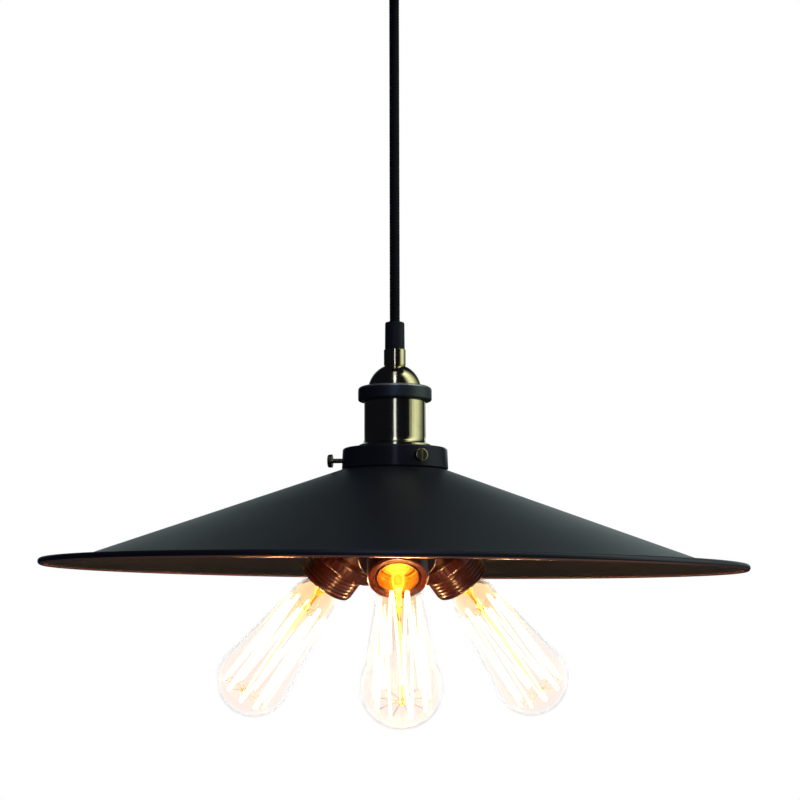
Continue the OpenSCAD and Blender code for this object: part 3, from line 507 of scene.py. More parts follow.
def arm_place(i):
    """Matrix of a lampholder's mouth in metres, with +Z towards its bulb's tip."""
    sizes = bpy.context.scene.lamp_sizes
    axis = AXIS["bulb_%d_out" % i]
    turn = math.atan2(axis.y, axis.x)
    tilt = math.acos(-axis.z)
    turned = along_z(GALLERY_LOW_Z - sizes.cluster_drop) @ Matrix.Rotation(turn, 4, "Z")
    tilted = turned @ Matrix.Rotation(math.pi - tilt, 4, "Y")
    return tilted @ along_z(sizes.arm_reach)


class NodeShape(Sheet):
    """A Geometry Nodes tree with named inputs, and the plain mesh that it makes."""

    KINDS = {float: "NodeSocketFloat", int: "NodeSocketInt"}

    def __init__(self, name, inputs, material):
        super().__init__(bpy.data.node_groups.new(name, "GeometryNodeTree"))
        self.values = {}
        for label, value in inputs.items():
            kind = self.KINDS[type(value)]
            socket = self.tree.interface.new_socket(label, in_out="INPUT", socket_type=kind)
            self.values[socket.identifier] = value
        self.tree.interface.new_socket("Geometry", in_out="OUTPUT", socket_type="NodeSocketGeometry")
        self.source = self.add("NodeGroupInput")
        self.material = material

    def __getitem__(self, label):
        """One of the named inputs."""
        return Wire(self, self.source.outputs[label])

    def dots(self, count, position):
        """A number of points in a chain, each put at its position."""
        line = self.wire("GeometryNodeMeshLine", {"Count": count})
        return self.wire("GeometryNodeSetPosition", {"Geometry": line, "Position": position})

    def path(self, count, position):
        """A curve through such points."""
        return self.wire("GeometryNodeMeshToCurve", {"Mesh": self.dots(count, position)})

    def tube(self, curve, sides, radius):
        """A closed tube along a curve."""
        profile = self.wire("GeometryNodeCurvePrimitiveCircle", {"Resolution": sides, "Radius": radius})
        return self.wire("GeometryNodeCurveToMesh", {
            "Curve": curve, "Profile Curve": profile, "Fill Caps": True})

    def finish(self, geometry):
        """Ends the tree, runs it on an empty mesh, and returns the plain mesh."""
        real = self.wire("GeometryNodeRealizeInstances", {"Geometry": geometry})
        painted = self.wire("GeometryNodeSetMaterial", {"Geometry": real, "Material": self.material})
        self.add("NodeGroupOutput", {"Geometry": painted})
        holder = stand(self.tree.name, bpy.data.meshes.new(self.tree.name))
        modifier = holder.modifiers.new("shape", "NODES")
        modifier.node_group = self.tree
        for identifier, value in self.values.items():
            modifier[identifier] = value
        evaluated = holder.evaluated_get(bpy.context.evaluated_depsgraph_get())
        mesh = bpy.data.meshes.new_from_object(evaluated)
        bpy.data.objects.remove(holder)
        return mesh


def placed(mesh, place):
    """The mesh moved from a local place in millimetres to the shared frame in metres."""
    moved = mesh.copy()
    moved.transform(place @ Matrix.Scale(MM, 4))
    return moved


def filament_shape(sizes, material):
    """The zigzag wire of the cage: it bends over one hook after another, round a cone."""
    steps = 9
    sides = 8
    bend_r = 0.7
    shape = NodeShape("filament cage", {
        "Hairpins": sizes.hairpins, "Top radius": sizes.cage_top_d / 2, "End radius": sizes.cage_low_d / 2,
        "Start": sizes.cage_start, "Length": sizes.cage_l, "Bend": bend_r,
        "Wire": sizes.wire_d / 2}, material)
    index = shape.wire("GeometryNodeInputIndex")
    hook = (index / float(steps)).math("FLOOR")
    sweep = (index % float(steps)) * (math.pi / (steps - 1))
    lower = hook % 2.0
    radius = lower * (shape["End radius"] - shape["Top radius"]) + shape["Top radius"]
    turn = hook * math.pi / shape["Hairpins"] - shape["Bend"] * sweep.math("COSINE") / radius
    bend = shape["Bend"] * sweep.math("SINE") * (lower * 2.0 - 1.0)
    height = shape["Start"] + lower * shape["Length"] + bend
    position = shape.wire("ShaderNodeCombineXYZ", {
        "X": radius * turn.math("COSINE"), "Y": radius * turn.math("SINE"), "Z": height})
    curve = shape.path(shape["Hairpins"] * (2 * steps), position)
    return shape.finish(shape.tube(curve, sides, shape["Wire"]))


def hook_shape(sizes, lower, material):
    """A ring of hook wires that stand out from a glass button and curl round the filament."""
    straight_steps = 10
    curl_steps = 7
    sag = 3.0
    side = -1.0 if lower else 1.0
    outer = (sizes.cage_low_d if lower else sizes.cage_top_d) / 2
    height = sizes.cage_start + (sizes.cage_l if lower else 0.0)
    shape = NodeShape("hook ring", {
        "Hooks": sizes.hairpins, "Inner": 1.2, "Outer": outer, "Height": height,
        "Offset": math.pi / sizes.hairpins if lower else 0.0, "Curl": 0.75, "Wire": 0.17}, material)
    index = shape.wire("GeometryNodeInputIndex")
    straight = (index / float(straight_steps)).math("MINIMUM", 1.0)
    curl = (index - float(straight_steps)).math("MAXIMUM", 0.0) * (1.5 * math.pi / curl_steps)
    outward = shape["Inner"] + straight * (shape["Outer"] - shape["Inner"])
    position = shape.wire("ShaderNodeCombineXYZ", {
        "X": outward + shape["Curl"] * curl.math("SINE"),
        "Z": (1.0 - curl.math("COSINE")) * shape["Curl"] * -side
        + (1.0 - straight) * straight * (sag * side)})
    curve = shape.path(straight_steps + curl_steps + 1, position)
    hook = shape.tube(curve, 5, shape["Wire"])
    centre = shape.wire("ShaderNodeCombineXYZ", {"Z": shape["Height"]})
    seats = shape.dots(shape["Hooks"], centre)
    count = shape.wire("GeometryNodeInputIndex")
    angle = shape.wire("ShaderNodeCombineXYZ", {
        "Z": count * math.tau / shape["Hooks"] + shape["Offset"]})
    turned = shape.wire("FunctionNodeEulerToRotation", {"Euler": angle})
    hooks = shape.wire("GeometryNodeInstanceOnPoints", {
        "Points": seats, "Instance": hook, "Rotation": turned})
    return shape.finish(hooks)


def rib_shape(count, radius, length, material):
    """Fine round ribs round the collar of a lampholder's mouth ring."""
    shape = NodeShape("collar ribs", {
        "Ribs": count, "Radius": radius, "Length": length, "Thickness": 0.5}, material)
    circle = shape.wire("GeometryNodeMeshCircle", {"Vertices": shape["Ribs"], "Radius": shape["Radius"]})
    sizes = {"Vertices": 8, "Radius": shape["Thickness"], "Depth": shape["Length"]}
    rib = shape.wire("GeometryNodeMeshCylinder", sizes, output="Mesh")
    return shape.finish(shape.wire("GeometryNodeInstanceOnPoints", {"Points": circle, "Instance": rib}))


def thread_shape(radius, length, pitch, thickness, material):
    """A helical ridge along +Z from z = 0, such as the thread of a thumbscrew."""
    shape = NodeShape("screw thread", {
        "Radius": radius, "Length": length, "Turns": length / pitch, "Thickness": thickness}, material)
    spiral = shape.wire("GeometryNodeCurveSpiral", {
        "Resolution": 20, "Rotations": shape["Turns"], "Start Radius": shape["Radius"],
        "End Radius": shape["Radius"], "Height": shape["Length"]})
    return shape.finish(shape.tube(spiral, 5, shape["Thickness"]))


def finish_table(colours):
    """Each kind of surface, with its maker, its colour and the maker's other values."""
    return {
        "shade_paint": (shade_paint, colours.shade),
        "antique_brass": (brushed_metal, colours.brass, 0.09, 0.06),
        "dark_brass": (rubbed_metal, colours.dark_brass, (0.55, 0.53, 0.45)),
        "thumb_brass": (brushed_metal, tone(colours.brass, 0.55), 0.2, 0.08),
        "plain_brass": (plain_metal, colours.plain_brass, 0.28),
        "zinc_steel": (plain_metal, (0.55, 0.56, 0.58), 0.32),
        "hook_wire": (plain_metal, (0.5, 0.42, 0.32), 0.35),
        "black_paint": (moulded, colours.black, 0.19, 0.0, 0.09),
        "black_plastic": (moulded, colours.black, 0.4, 0.0, 0.09),
        "pale_plastic": (moulded, (0.62, 0.6, 0.53), 0.45, 0.0),
        "lead_sleeve": (moulded, (0.16, 0.07, 0.03), 0.5, 0.0),
        "dark_bakelite": (moulded, colours.bakelite, 0.3, 0.5),
        "insulator": (moulded, (0.01, 0.01, 0.01), 0.2, 0.5),
        "cord_braid": (cord_braid, colours.braid),
        "amber_glass": (clear_glass, colours.glass),
        "stem_glass": (painted_glow_glass, (1.0, 0.85, 0.5)),
        "lit_wire": (glowing_wire, colours.glow),
    }


def shared_finish(kind):
    """The finish of a kind of surface, made once and then shared."""
    name = kind.replace("_", " ") + " finish"
    material = bpy.data.materials.get(name)
    if material is None:
        maker, *values = finish_table(bpy.context.scene.lamp_colours)[kind]
        material = maker(name, *values)
    return material


def add_piece(name, mesh, finish, body, *nodes, slot=None):
    """A finished piece that rides on its body and stands for its CAD nodes."""
    piece = link(name, mesh, shared_finish(finish))
    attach(piece, body)
    if nodes:
        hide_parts(*nodes)
    return piece


def paint_nodes(finish, names):
    """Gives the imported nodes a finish."""
    material = shared_finish(finish)
    for name in names:
        node = frame["nodes"][name]
        node.data.materials.clear()
        node.data.materials.append(material)


class LAMP_OT_stage(bpy.types.Operator):
    """Sets the camera, the white studio and its lights"""

    bl_idname = "lamp.stage"
    bl_label = "Studio"

    def execute(self, context):
        scene = context.scene
        scene.view_settings.view_transform = "Standard"
        self.add_camera(scene)
        self.add_world(scene)
        self.add_floor()
        self.add_right_panels()
        self.add_softbox(
            "front strip", turn=0, distance=2.1, rise=0.5, size=(0.34, 3.4), brightness=(1.7, 1.9, 3.2))
        self.add_softbox(
            "top strip", turn=0, distance=0.6, rise=2.5, size=(0.23, 1.9), brightness=(1.2, 1.3, 2.0))
        for i in ARMS:
            self.add_bulb_light("bulb", i, distance=50, power=0.26, colour=(1.0, 0.38, 0.1))
            glint = self.add_bulb_light("glint", i, distance=60, power=0.7, colour=(1.0, 0.5, 0.22))
            glint.visible_diffuse = False
            self.add_bulb_light("neck", i, distance=5, power=0.035, colour=(1.0, 0.36, 0.05))
        return {"FINISHED"}

    def add_right_panels(self):
        """A row of panels round the lamp's right side, brightest a third of the way from its front."""
        panels = 8
        first_turn = 56
        last_turn = 140
        brightest = 1.25
        for k in range(panels):
            share = (k + 0.5) / panels
            turn = first_turn + (last_turn - first_turn) * share
            level = brightest * math.sin(math.pi * share ** 0.6) ** 2
            brightness = tone((1.0, 1.12, 1.1), level)
            self.add_softbox(
                "right panel %d" % k, turn, distance=1.6, rise=0.45, size=(0.33, 3.0), brightness=brightness)

    def add_camera(self, scene):
        camera = bpy.data.cameras.new("photo camera")
        camera.sensor_width = 36.0
        camera.lens = 84.1
        holder = stand("photo camera", camera)
        under_rim = 35.0
        look_up = 6.855
        place = Vector((0.0033, -1.2092, (RIM_Z - under_rim) * MM))
        pitch = math.radians(90 + look_up)
        roll = math.radians(-0.14)
        holder.matrix_world = (
            Matrix.Translation(place) @ Matrix.Rotation(pitch, 4, "X") @ Matrix.Rotation(roll, 4, "Z"))
        scene.camera = holder

    def add_world(self, scene):
        """White where the camera sees it, and otherwise dark apart from a pale backdrop behind the lamp."""
        dim = (0.64, 0.73, 1.7)
        pale = (0.8, 1.0, 0.97)
        white = (1.0, 1.0, 1.0)
        world = bpy.data.worlds.new("white studio")
        world.use_nodes = True
        scene.world = world
        sheet = Sheet(world.node_tree)
        shown = self.sight(sheet)
        across, away, up = sheet.split(sheet.wire("ShaderNodeTexCoord", output="Generated"))
        behind = sheet.ease(away, 0.75, 0.97) * sheet.ease(up, 0.06, 0.2) * (1.0 - sheet.ease(up, 0.3, 0.6))
        left = sheet.ease(across * -1.0, 0.02, 0.2)
        backdrop = behind * (across * 3.0 + 0.85 + left * 0.7)
        room = backdrop.math("MAXIMUM", 0.0) + 0.012
        tint = sheet.blend(sheet.ease(backdrop, 0.0, 0.1), dim, pale)
        background = world.node_tree.nodes["Background"]
        sheet.feed(background.inputs["Color"], sheet.blend(shown, tint, white))
        sheet.feed(background.inputs["Strength"], shown + (1.0 - shown) * room)

    def sight(self, sheet):
        """One for the camera's rays, straight or through glass, and zero for those that light the lamp."""
        straight, through, mirrored = [
            sheet.wire("ShaderNodeLightPath", output="Is %s Ray" % kind)
            for kind in ("Camera", "Transmission", "Singular")]
        return straight.math("MAXIMUM", through).math("MAXIMUM", mirrored)

    def add_floor(self):
        """A wide pale floor far under the lamp."""
        size = 8.0
        height = -1.6
        mesh = bpy.data.meshes.new("floor")
        corners = [(-size, -size, height), (size, -size, height), (size, size, height), (-size, size, height)]
        mesh.from_pydata(corners, [], [(0, 1, 2, 3)])
        finish = Finish("pale_floor", Roughness=0.8)
        finish.set("Base Color", (0.3, 0.3, 0.3))
        glow = finish.wire("ShaderNodeEmission", {"Color": (1.0, 1.0, 1.0), "Strength": 1.0})
        plain = Wire(finish, finish.shader.outputs[0])
        mixed = finish.wire("ShaderNodeMixShader", {0: self.sight(finish), 1: plain, 2: glow})
        finish.feed(finish.tree.nodes["Material Output"].inputs["Surface"], mixed)
        link("floor", mesh, finish.material)

    def add_softbox(self, name, turn, distance, rise, size, brightness):
        """An upright softbox, turned by degrees to the right of the camera as seen from the lamp."""
        light = bpy.data.lights.new(name, "AREA")
        light.shape = "RECTANGLE"
        light.size = size[0]
        light.size_y = size[1]
        light.color = brightness
        light.energy = math.pi * size[0] * size[1]
        holder = stand(name, light)
        angle = math.radians(turn)
        outward = Vector((math.sin(angle), -math.cos(angle), rise))
        lamp_centre = Vector((0, 0, -0.36))
        holder.location = lamp_centre + distance * outward
        holder.rotation_euler = (-outward).to_track_quat("-Z", "Y").to_euler()

    def add_bulb_light(self, kind, i, distance, power, colour):
        """A warm light on a bulb's axis, at a distance in millimetres from its lampholder's mouth."""
        name = "%s light %d" % (kind, i)
        light = bpy.data.lights.new(name, "POINT")
        light.color = colour
        light.energy = power
        light.shadow_soft_size = 0.008
        holder = stand(name, light)
        holder.location = arm_place(i) @ Vector((0, 0, distance * MM))
        holder.visible_transmission = False
        return holder


class LAMP_OT_cord(bpy.types.Operator):
    """Makes the braided cord between the two grips"""

    bl_idname = "lamp.cord"
    bl_label = "Cord"

    def execute(self, context):
        sizes = context.scene.lamp_sizes
        spacing = 14
        drops = [spacing * i for i in range(17)]
        mesh = self.braided_tube(sizes, OUTLET_Z, drops[-1], 0.5)
        piece = add_piece("braided_cord", mesh, "cord_braid", "hanging_cord", "cord")
        for node, body in (("rose_cord_tail", "ceiling_rose"), ("lamp_cord_tail", "lamp")):
            top = high(node).z
            mesh = self.braided_tube(sizes, top, top - low(node).z, 0.0)
            add_piece("braided_" + node, mesh, "cord_braid", body, node)
        return {"FINISHED"}

    def braided_tube(self, sizes, top, length, dome):
        """A tube downwards from a height, whose skin rises over each strand of the braid."""
        around = 48
        step = 0.45
        rows = int(length / step)
        core = sizes.cord_d / 2
        peak = core + 0.24
        rise = 0.16
        shape = bmesh.new()
        uv = shape.loops.layers.uv.new("cord")
        rings = []
        for row in range(rows + 1):
            down = length * row / rows
            ring = []
            for k in range(around):
                a = math.tau * k / around
                turn = k / around
                run = down / sizes.cord_pitch
                left = math.cos(math.pi * sizes.cord_strands * (turn + run))
                right = math.cos(math.pi * sizes.cord_strands * (turn - run))
                radius = peak - rise * (1 - math.sqrt(abs(left * right)))
                point = Vector((radius * math.cos(a), radius * math.sin(a), top - down)) * MM
                ring.append(shape.verts.new(point))
            rings.append(ring)
        for row in range(rows):
            for k in range(around):
                j = (k + 1) % around
                face = shape.faces.new((rings[row][k], rings[row + 1][k], rings[row + 1][j], rings[row][j]))
                corners = ((k, row), (k, row + 1), (k + 1, row + 1), (k + 1, row))
                for loop, (across, along) in zip(face.loops, corners):
                    loop[uv].uv = (across / around, along * step / (math.pi * sizes.cord_d))
        self.close_end(shape, rings[0], core * dome)
        self.close_end(shape, rings[-1], -core * dome)
        bmesh.ops.recalc_face_normals(shape, faces=shape.faces)
        mesh = plain_mesh(shape, "braided_cord")
        mesh.shade_smooth()
        return mesh

    def close_end(self, shape, ring, height):
        """Closes an end with a shallow round cap of a height in millimetres."""
        level = ring[0].co.z
        for share, lift in ((0.87, 0.5), (0.5, 0.87)):
            raised = []
            for vert in ring:
                point = (vert.co.x * share, vert.co.y * share, level + height * lift * MM)
                raised.append(shape.verts.new(point))
            for (here, after), (above, beyond) in zip(neighbours(ring), neighbours(raised)):
                shape.faces.new((here, after, beyond, above))
            ring = raised
        shape.faces.new(ring)


class LAMP_OT_shade(bpy.types.Operator):
    """Makes the spun shade with its rolled rim and neck"""

    bl_idname = "lamp.shade"
    bl_label = "Shade"
    NECK_H = 10.2

    def execute(self, context):
        rim_r = high("shade").x
        gallery_in_r = 33.0
        neck_r = 29.5
        drop = GALLERY_LOW_Z - RIM_Z
        bead = 2.2
        thickness = 1.0
        brim_w = 24.0
        brim_drop = 1.9
        brim = (rim_r - brim_w, bead + thickness / 2 + brim_drop)
        seat = (gallery_in_r, drop - 0.2)
        slope = math.degrees(math.atan2(seat[1] - brim[1], brim[0] - seat[0]))
        flat = math.degrees(math.atan2(brim_drop, brim_w - bead))
        upper = self.side(0.0, neck_r, seat, brim, slope, flat, drop)
        under = self.side(thickness, neck_r, seat, brim, slope, flat, drop)
        meet = math.degrees(math.asin(thickness / 2 / bead))
        roll = arc((rim_r - bead, bead), bead, 180 - meet, meet - 180, 36)
        lip_r = 1.0
        lip = arc((neck_r, drop + self.NECK_H), lip_r, 200, -30, 12)
        outline = upper + roll + under[::-1] + lip
        lean = context.scene.lamp_sizes.shade_lean
        hung = along_z(GALLERY_LOW_Z) @ Matrix.Rotation(lean, 4, "Y")
        mesh = lathe(outline, 256, hung @ along_z(-drop))
        add_piece("spun_shade", mesh, "shade_paint", "lamp", "shade")
        return {"FINISHED"}

    def side(self, depth, neck_r, seat, brim, slope, flat, drop):
        """One side of the sheet from the neck's top to the brim's end, sunk by a depth."""
        neck_bend = 2.0
        brim_bend = 25.0
        angle = math.radians(slope)
        rise = math.tan(angle)
        corner = seat[1] + rise * (seat[0] - neck_r)
        neck_c = (neck_r + neck_bend, corner + neck_bend * (1 / math.cos(angle) - rise))
        run = brim_bend * math.tan(math.radians(slope - flat) / 2)
        lean = Vector((-math.cos(angle), math.sin(angle)))
        brim_c = Vector(brim) + run * lean + brim_bend * Vector((lean.y, -lean.x))
        points = [(neck_r - depth, drop + self.NECK_H - 0.8)]
        points += arc(neck_c, neck_bend + depth, 180, 270 - slope, 8)
        points += arc(brim_c, brim_bend + depth, 270 - slope, 270 - flat, 10)
        return points


class LAMP_OT_brass(bpy.types.Operator):
    """Makes the brass cap, the union ring and the shell"""

    bl_idname = "lamp.brass"
    bl_label = "Brass cap, ring and shell"

    def execute(self, context):
        for name, outline, finish in (
                ("brass_cap", self.cap(), "antique_brass"),
                ("union_ring", self.ring(), "dark_brass"),
                ("brass_shell", self.shell(), "antique_brass")):
            add_piece("turned_" + name, lathe(outline, 160), finish, "lamp", name)
        return {"FINISHED"}

    def cap(self):
        """A dome with a collared neck and a flange under the ring."""
        neck_r = 7.2
        bore_r = 5.05
        dome_r = 17.7
        flange_r = 19.8
        wall = 1.0
        edge = 0.4
        groove = 0.25
        neck_low = CAP_TOP_Z - 11.2
        flange_top = RING_TOP_Z - 2.0
        flange_low = RING_TOP_Z - 3.2
        centre = neck_low - math.sqrt(dome_r ** 2 - neck_r ** 2)
        start = math.degrees(math.acos(neck_r / dome_r))
        end = -math.degrees(math.asin((centre - flange_top) / dome_r))
        outer = [(neck_r - edge, CAP_TOP_Z), (neck_r, CAP_TOP_Z - edge), (neck_r, neck_low + 0.9)]
        outer += [(neck_r - groove, neck_low + 0.6), (neck_r - groove, neck_low + 0.3)]
        outer += arc((0, centre), dome_r, start, end, 24)
        flange = [(flange_r, flange_top), (flange_r, flange_low), (16.2, flange_low)]
        inner = arc((0, centre), dome_r - wall, end, start + 14, 20)
        return outer + flange + inner + [(bore_r, neck_low - 1.6), (bore_r, CAP_TOP_Z)]

    def ring(self):
        """A thick ring with a lip over the cap's flange."""
        outer_r = 24.0
        lip_r = 17.8
        seat_r = 20.05
        lip_low = RING_TOP_Z - 2.0
        return rounded([
            (lip_r, RING_TOP_Z, 0.4), (outer_r, RING_TOP_Z, 2.7), (outer_r, RING_LOW_Z, 1.7),
            (seat_r, RING_LOW_Z, 0.3), (seat_r, lip_low, 0.0), (lip_r, lip_low, 0.0)], 8)

    def shell(self):
        """A straight tube with a concave flared foot."""
        bore_r = 19.0
        tube_r = 20.0
        foot_r = 23.25
        foot_h = 7.0
        edge_h = 2.2
        edge_r = 0.4
        top = RING_TOP_Z - 3.2
        flare = []
        for degrees in spread(0, 90, 12):
            a = math.radians(degrees)
            flare.append((tube_r + (foot_r - tube_r) * (1 - math.cos(a)),
                          SHELL_LOW_Z + edge_h + (foot_h - edge_h) * (1 - math.sin(a))))
        edge = arc((foot_r - edge_r, SHELL_LOW_Z + edge_r), edge_r, 0, -90, 5)
        return [(bore_r, top), (tube_r, top)] + flare + edge + [(bore_r, SHELL_LOW_Z)]


class LAMP_OT_gallery(bpy.types.Operator):
    """Makes the gallery, the cord grips and the threads of the thumbscrews"""

    bl_idname = "lamp.gallery"
    bl_label = "Gallery, grips and thumbscrews"

    def execute(self, context):
        grip_h = 18.0
        add_piece("turned_gallery", lathe(self.gallery(), 160), "black_paint", "lamp", "gallery")
        for name, body, mouth, base in (
                ("lamp_grip", "lamp", LAMP_TOP_Z, LAMP_TOP_Z - grip_h),
                ("rose_grip", "ceiling_rose", OUTLET_Z, OUTLET_Z + grip_h)):
            add_piece("moulded_" + name, lathe(self.grip(mouth, base), 96), "black_plastic", body, name)
        paint_nodes("thumb_brass", ["thumbscrew_%d" % i for i in ARMS])
        for i in ARMS:
            self.add_thread(i)
        return {"FINISHED"}

    def gallery(self):
        """A shallow cup, open below, whose wall leans out a little."""
        bore_r = 5.1
        top_r = 34.0
        low_r = 34.5
        wall = 1.5
        top = high("gallery").z
        return rounded([
            (bore_r, top, 0.0), (top_r, top, 1.9), (low_r, GALLERY_LOW_Z, 0.4),
            (low_r - wall, GALLERY_LOW_Z, 0.2), (top_r - wall, top - wall, 0.8),
            (bore_r, top - wall, 0.0)], 8)

    def grip(self, mouth, base):
        """A tapered sleeve with a rounded mouth, a cord bore and a stem."""
        bore_r = 3.15
        stem_r = 5.0
        up = 1.0 if mouth > base else -1.0
        stem = base - up * 7.0
        return rounded([
            (3.65, mouth, 0.3), (6.35, mouth, 1.7), (6.5, base, 0.3), (stem_r, base, 0.0),
            (stem_r, stem, 0.4), (bore_r, stem, 0.2), (bore_r, mouth - up * 2.6, 0.6)], 8)

    def add_thread(self, i):
        """A fine thread on the shank between the gallery and the head."""
        height = GALLERY_LOW_Z + 6.0
        start = 30.4
        axis = AXIS["thumbscrew_%d_out" % i]
        ridge = thread_shape(
            radius=1.42, length=10.4, pitch=0.5, thickness=0.16, material=shared_finish("thumb_brass"))
        turned = along_z(height) @ axis.to_track_quat("Z", "Y").to_matrix().to_4x4()
        mesh = placed(ridge, turned @ along_z(start))
        mesh.shade_smooth()
        add_piece(
            "thumbscrew_thread_%d" % i, mesh, "thumb_brass", "shade_screw_%d" % i, slot="dark_brass")


class LAMP_OT_lampholders(bpy.types.Operator):
    """Makes the three lampholders with their ribbed rings and threaded shells"""

    bl_idname = "lamp.lampholders"
    bl_label = "Lampholders"
    SKIRT_R = 18.7

    def execute(self, context):
        sizes = context.scene.lamp_sizes
        ribs = rib_shape(sizes.ribs, radius=24.5, length=6.0, material=shared_finish("dark_bakelite"))
        ribs_middle = -21.3
        skirt_thread = threaded(
            pitch=2.5, depth=0.3, sink=0.0, carries=lambda r, z: abs(r - self.SKIRT_R) <= 0.01)
        shell_thread = threaded(
            pitch=sizes.thread_pitch, depth=0.3, sink=0.05, carries=lambda r, z: r > 13.0)
        for i in ARMS:
            place = arm_place(i)
            mesh = lathe(self.body(), 112, place)
            add_piece("moulded_lampholder_%d" % i, mesh, "dark_bakelite", "lamp", "lampholder_%d" % i)
            mesh = join_meshes([
                lathe(self.ring(), 112, place, skirt_thread),
                placed(ribs, place @ along_z(ribs_middle))])
            smooth(mesh)
            add_piece("ribbed_mouth_ring_%d" % i, mesh, "dark_bakelite", "lamp", "mouth_ring_%d" % i)
            mesh = lathe(self.shell(), 96, place, shell_thread)
            add_piece("threaded_shell_%d" % i, mesh, "plain_brass", "lamp", "screw_shell_%d" % i)
        return {"FINISHED"}

    def body(self):
        """The moulded back with its neck, dome, straight body, nose and floor."""
        axis_r = 0.01
        bore_r = 5.05
        neck_r = 8.5
        body_r = 18.0
        nose_r = 17.0
        well_r = 14.1
        hollow_r = 10.5
        back = -52.0
        hollow_back = -43.8
        hollow_front = -37.7
        floor = -31.7
        step = -25.2
        front = -1.7
        return rounded([
            (bore_r, back, 0.3), (neck_r, back, 0.6), (neck_r, -47.0, 0.8), (12.5, -46.4, 3.0),
            (17.0, -42.0, 4.0), (body_r, -36.0, 3.0), (body_r, step, 0.5), (nose_r, step, 0.2),
            (nose_r, front, 0.2), (well_r, front, 0.3), (well_r, floor, 0.6), (axis_r, floor, 0.0),
            (axis_r, hollow_front, 0.0), (hollow_r, hollow_front, 0.5), (hollow_r, hollow_back, 0.5),
            (bore_r, hollow_back, 0.0)], 6)

    def ring(self):
        """The collar and the skirt, with points close enough along the skirt to carry its thread."""
        seat_r = 17.05
        collar_r = 24.6
        mouth_r = 15.2
        back = -25.0
        collar_front = -17.6
        lip = -1.5
        skirt = [(self.SKIRT_R, z, 0.0) for z in spread(-17.0, -1.0, 56)]
        return rounded([
            (seat_r, back, 0.1), (collar_r, back, 0.9), (collar_r, collar_front, 0.9),
            (18.4, collar_front, 0.2), *skirt, (18.2, 0.0, 0.6), (mouth_r, 0.0, 0.6), (mouth_r, lip, 0.2),
            (seat_r, lip, 0.1)], 6)

    def shell(self):
        """The outline of the screw shell, with points close enough along it to carry a thread."""
        foot_r = 8.2
        start = -31.6
        end = -7.8
        inside = [(13.4, z) for z in spread(start + 0.6, end, 60)]
        outside = [(13.8, z) for _, z in inside[::-1]]
        return [(foot_r, start + 0.5)] + inside + outside + [(13.8, start), (foot_r, start)]


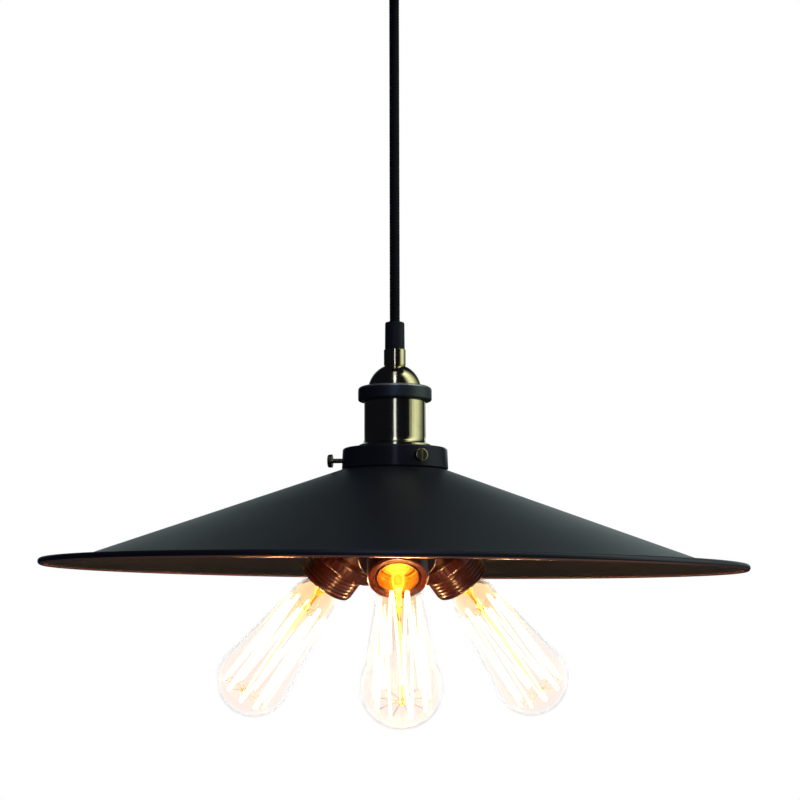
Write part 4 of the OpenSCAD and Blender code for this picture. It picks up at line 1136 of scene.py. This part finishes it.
class LAMP_OT_bulbs(bpy.types.Operator):
    """Makes the three bulbs: glass, cap, stem, hooks and filament"""

    bl_idname = "lamp.bulbs"
    bl_label = "Bulbs"

    def execute(self, context):
        sizes = context.scene.lamp_sizes
        filament = filament_shape(sizes, shared_finish("lit_wire"))
        hooks = [hook_shape(sizes, lower, shared_finish("hook_wire")) for lower in (False, True)]
        cap_thread = threaded(
            pitch=sizes.thread_pitch, depth=0.22, sink=0.24, carries=lambda r, z: r >= 12.0 and z <= -4.0)
        for i in ARMS:
            place = arm_place(i)
            bulb = "bulb_%d" % i
            mesh = lathe(self.glass(sizes), 128, place)
            glass = add_piece("blown_glass_%d" % i, mesh, "amber_glass", bulb, "bulb_glass_%d" % i)
            mesh = lathe(self.stem(sizes), 48, place)
            stem = add_piece("glass_stem_%d" % i, mesh, "stem_glass", bulb, "bulb_mount_%d" % i)
            mesh = join_meshes([placed(hook, place) for hook in hooks])
            mesh.shade_smooth()
            add_piece("filament_hooks_%d" % i, mesh, "hook_wire", bulb, slot="zinc_steel")
            mesh = placed(filament, place)
            mesh.shade_smooth()
            wire = add_piece("filament_cage_%d" % i, mesh, "lit_wire", bulb, "bulb_filament_%d" % i)
            mesh = lathe(self.cap(), 96, place, cap_thread)
            add_piece("threaded_cap_%d" % i, mesh, "plain_brass", bulb, "bulb_cap_%d" % i)
            for piece in (glass, stem, wire):
                piece.visible_shadow = False
            # Reflections leave the glass out, so that the bulbs' lights show in the shade's rim.
            glass.visible_glossy = False
        paint_nodes("insulator", ["bulb_contact_%d" % i for i in ARMS])
        return {"FINISHED"}

    def side(self, sizes, inset):
        """The glass from its root to its tip, drawn in by an inset."""
        taper = 9.3
        shoulder_s = 10.0
        root_r = 12.5 - inset
        root_s = -14.0 + inset
        radius = sizes.bulb_d / 2 - inset
        end_s = sizes.bulb_out - sizes.bulb_d / 2
        lean = math.radians(taper)
        touch = Vector((radius * math.cos(lean), end_s - radius * math.sin(lean)))
        shoulder = Vector((touch.x - math.tan(lean) * (touch.y - shoulder_s), shoulder_s))
        start = Vector((root_r, -1.2))
        corner = Vector((root_r, shoulder_s / 3))
        points = [(root_r, root_s)] + soft_corner(start, corner, shoulder, 12)
        points += [tuple(shoulder.lerp(touch, share)) for share in spread(0.0, 1.0, 16)[1:-1]]
        return points + arc((0, end_s), radius, -taper, 89.9, 28)

    def glass(self, sizes):
        return self.side(sizes, 0.0) + self.side(sizes, sizes.glass_t)[::-1]

    def stem(self, sizes):
        """The flared stem, its pinched top, the long rod and the two buttons for the hooks."""
        top = sizes.cage_start
        end = top + sizes.cage_l
        flare = [(10.4, -13.0), (10.4, -12.4), (7.0, -11.6), (4.8, -9.5), (4.1, -6.0), (4.0, 2.0), (3.6, 6.0)]
        neck = [(2.2, 9.0), (1.6, 11.0), (1.5, top - 2.4)]
        upper = arc((0.0, top), 2.4, -55, 50, 8)
        rod = [(1.25, top + 4.0), (1.2, end - 3.5)]
        lower = arc((0.0, end), 2.5, -58, 89, 12)
        return [(0.01, -13.0)] + flare + neck + upper + rod + lower

    def cap(self):
        """The sleeve's outline, with points close enough along it to carry a thread."""
        base = -24.6
        outside = [(13.1, z) for z in spread(base + 2.6, -1.2, 60)]
        inside = [(12.7, z) for _, z in outside[::-1]]
        return [(8.1, base + 0.4), (8.5, base)] + outside + inside


class LAMP_OT_rose(bpy.types.Operator):
    """Finishes the ceiling rose, the tube, the cluster cup and the small fasteners"""

    bl_idname = "lamp.rose"
    bl_label = "Rose and cluster"

    def execute(self, context):
        depth = -low("ceiling_cup").z
        radius = high("ceiling_cup").x
        bore_r = 5.1
        wall = 1.2
        cup = lathe(rounded([
            (bore_r, -depth, 0.0), (radius, -depth, 9.0), (radius, 0.0, 0.3), (radius - wall, 0.0, 0.3),
            (radius - wall, wall - depth, 8.0), (bore_r, wall - depth, 0.0)], 10), 160)
        add_piece("spun_ceiling_cup", cup, "black_paint", "ceiling_rose", "ceiling_cup")
        paint_nodes("black_paint", ["cup_screws", "cluster_lid", "cluster_cup"])
        paint_nodes("zinc_steel", [
            "ceiling_strap", "rose_pinch_screw", "rose_lock_nut", "terminal_screws", "earth_screw",
            "lamp_pinch_screw", "tube_lock_nuts", "cluster_screws", "arm_lock_nuts"])
        paint_nodes("plain_brass", ["terminal_ways", "centre_tube", "arm_nipples"])
        paint_nodes("plain_brass", ["centre_contact_%d" % i for i in ARMS])
        paint_nodes("pale_plastic", ["terminal_block"])
        paint_nodes("lead_sleeve", ["rose_leads", "lamp_leads"])
        return {"FINISHED"}


STEPS = (LAMP_OT_stage, LAMP_OT_cord, LAMP_OT_shade, LAMP_OT_brass, LAMP_OT_gallery, LAMP_OT_lampholders,
         LAMP_OT_bulbs, LAMP_OT_rose)


class LAMP_PT_panel(bpy.types.Panel):
    """Lists the lamp's pieces in the sidebar"""

    bl_label = "Pendant lamp"
    bl_idname = "LAMP_PT_panel"
    bl_space_type = "VIEW_3D"
    bl_region_type = "UI"
    bl_category = "Lamp"

    def draw(self, context):
        for step in STEPS:
            self.layout.operator(step.bl_idname)
        for group in (context.scene.lamp_sizes, context.scene.lamp_colours):
            for name in group.__annotations__:
                self.layout.prop(group, name)


CLASSES = (LampSizes, LampColours) + STEPS + (LAMP_PT_panel,)


def register():
    for cls in CLASSES:
        bpy.utils.register_class(cls)
    bpy.types.Scene.lamp_sizes = PointerProperty(type=LampSizes)
    bpy.types.Scene.lamp_colours = PointerProperty(type=LampColours)


def unregister():
    del bpy.types.Scene.lamp_colours
    del bpy.types.Scene.lamp_sizes
    for cls in reversed(CLASSES):
        bpy.utils.unregister_class(cls)


def main():
    register()
    bpy.ops.lamp.stage()
    bpy.ops.lamp.cord()
    bpy.ops.lamp.shade()
    bpy.ops.lamp.brass()
    bpy.ops.lamp.gallery()
    bpy.ops.lamp.lampholders()
    bpy.ops.lamp.bulbs()
    bpy.ops.lamp.rose()


if __name__ == "__main__":
    main()
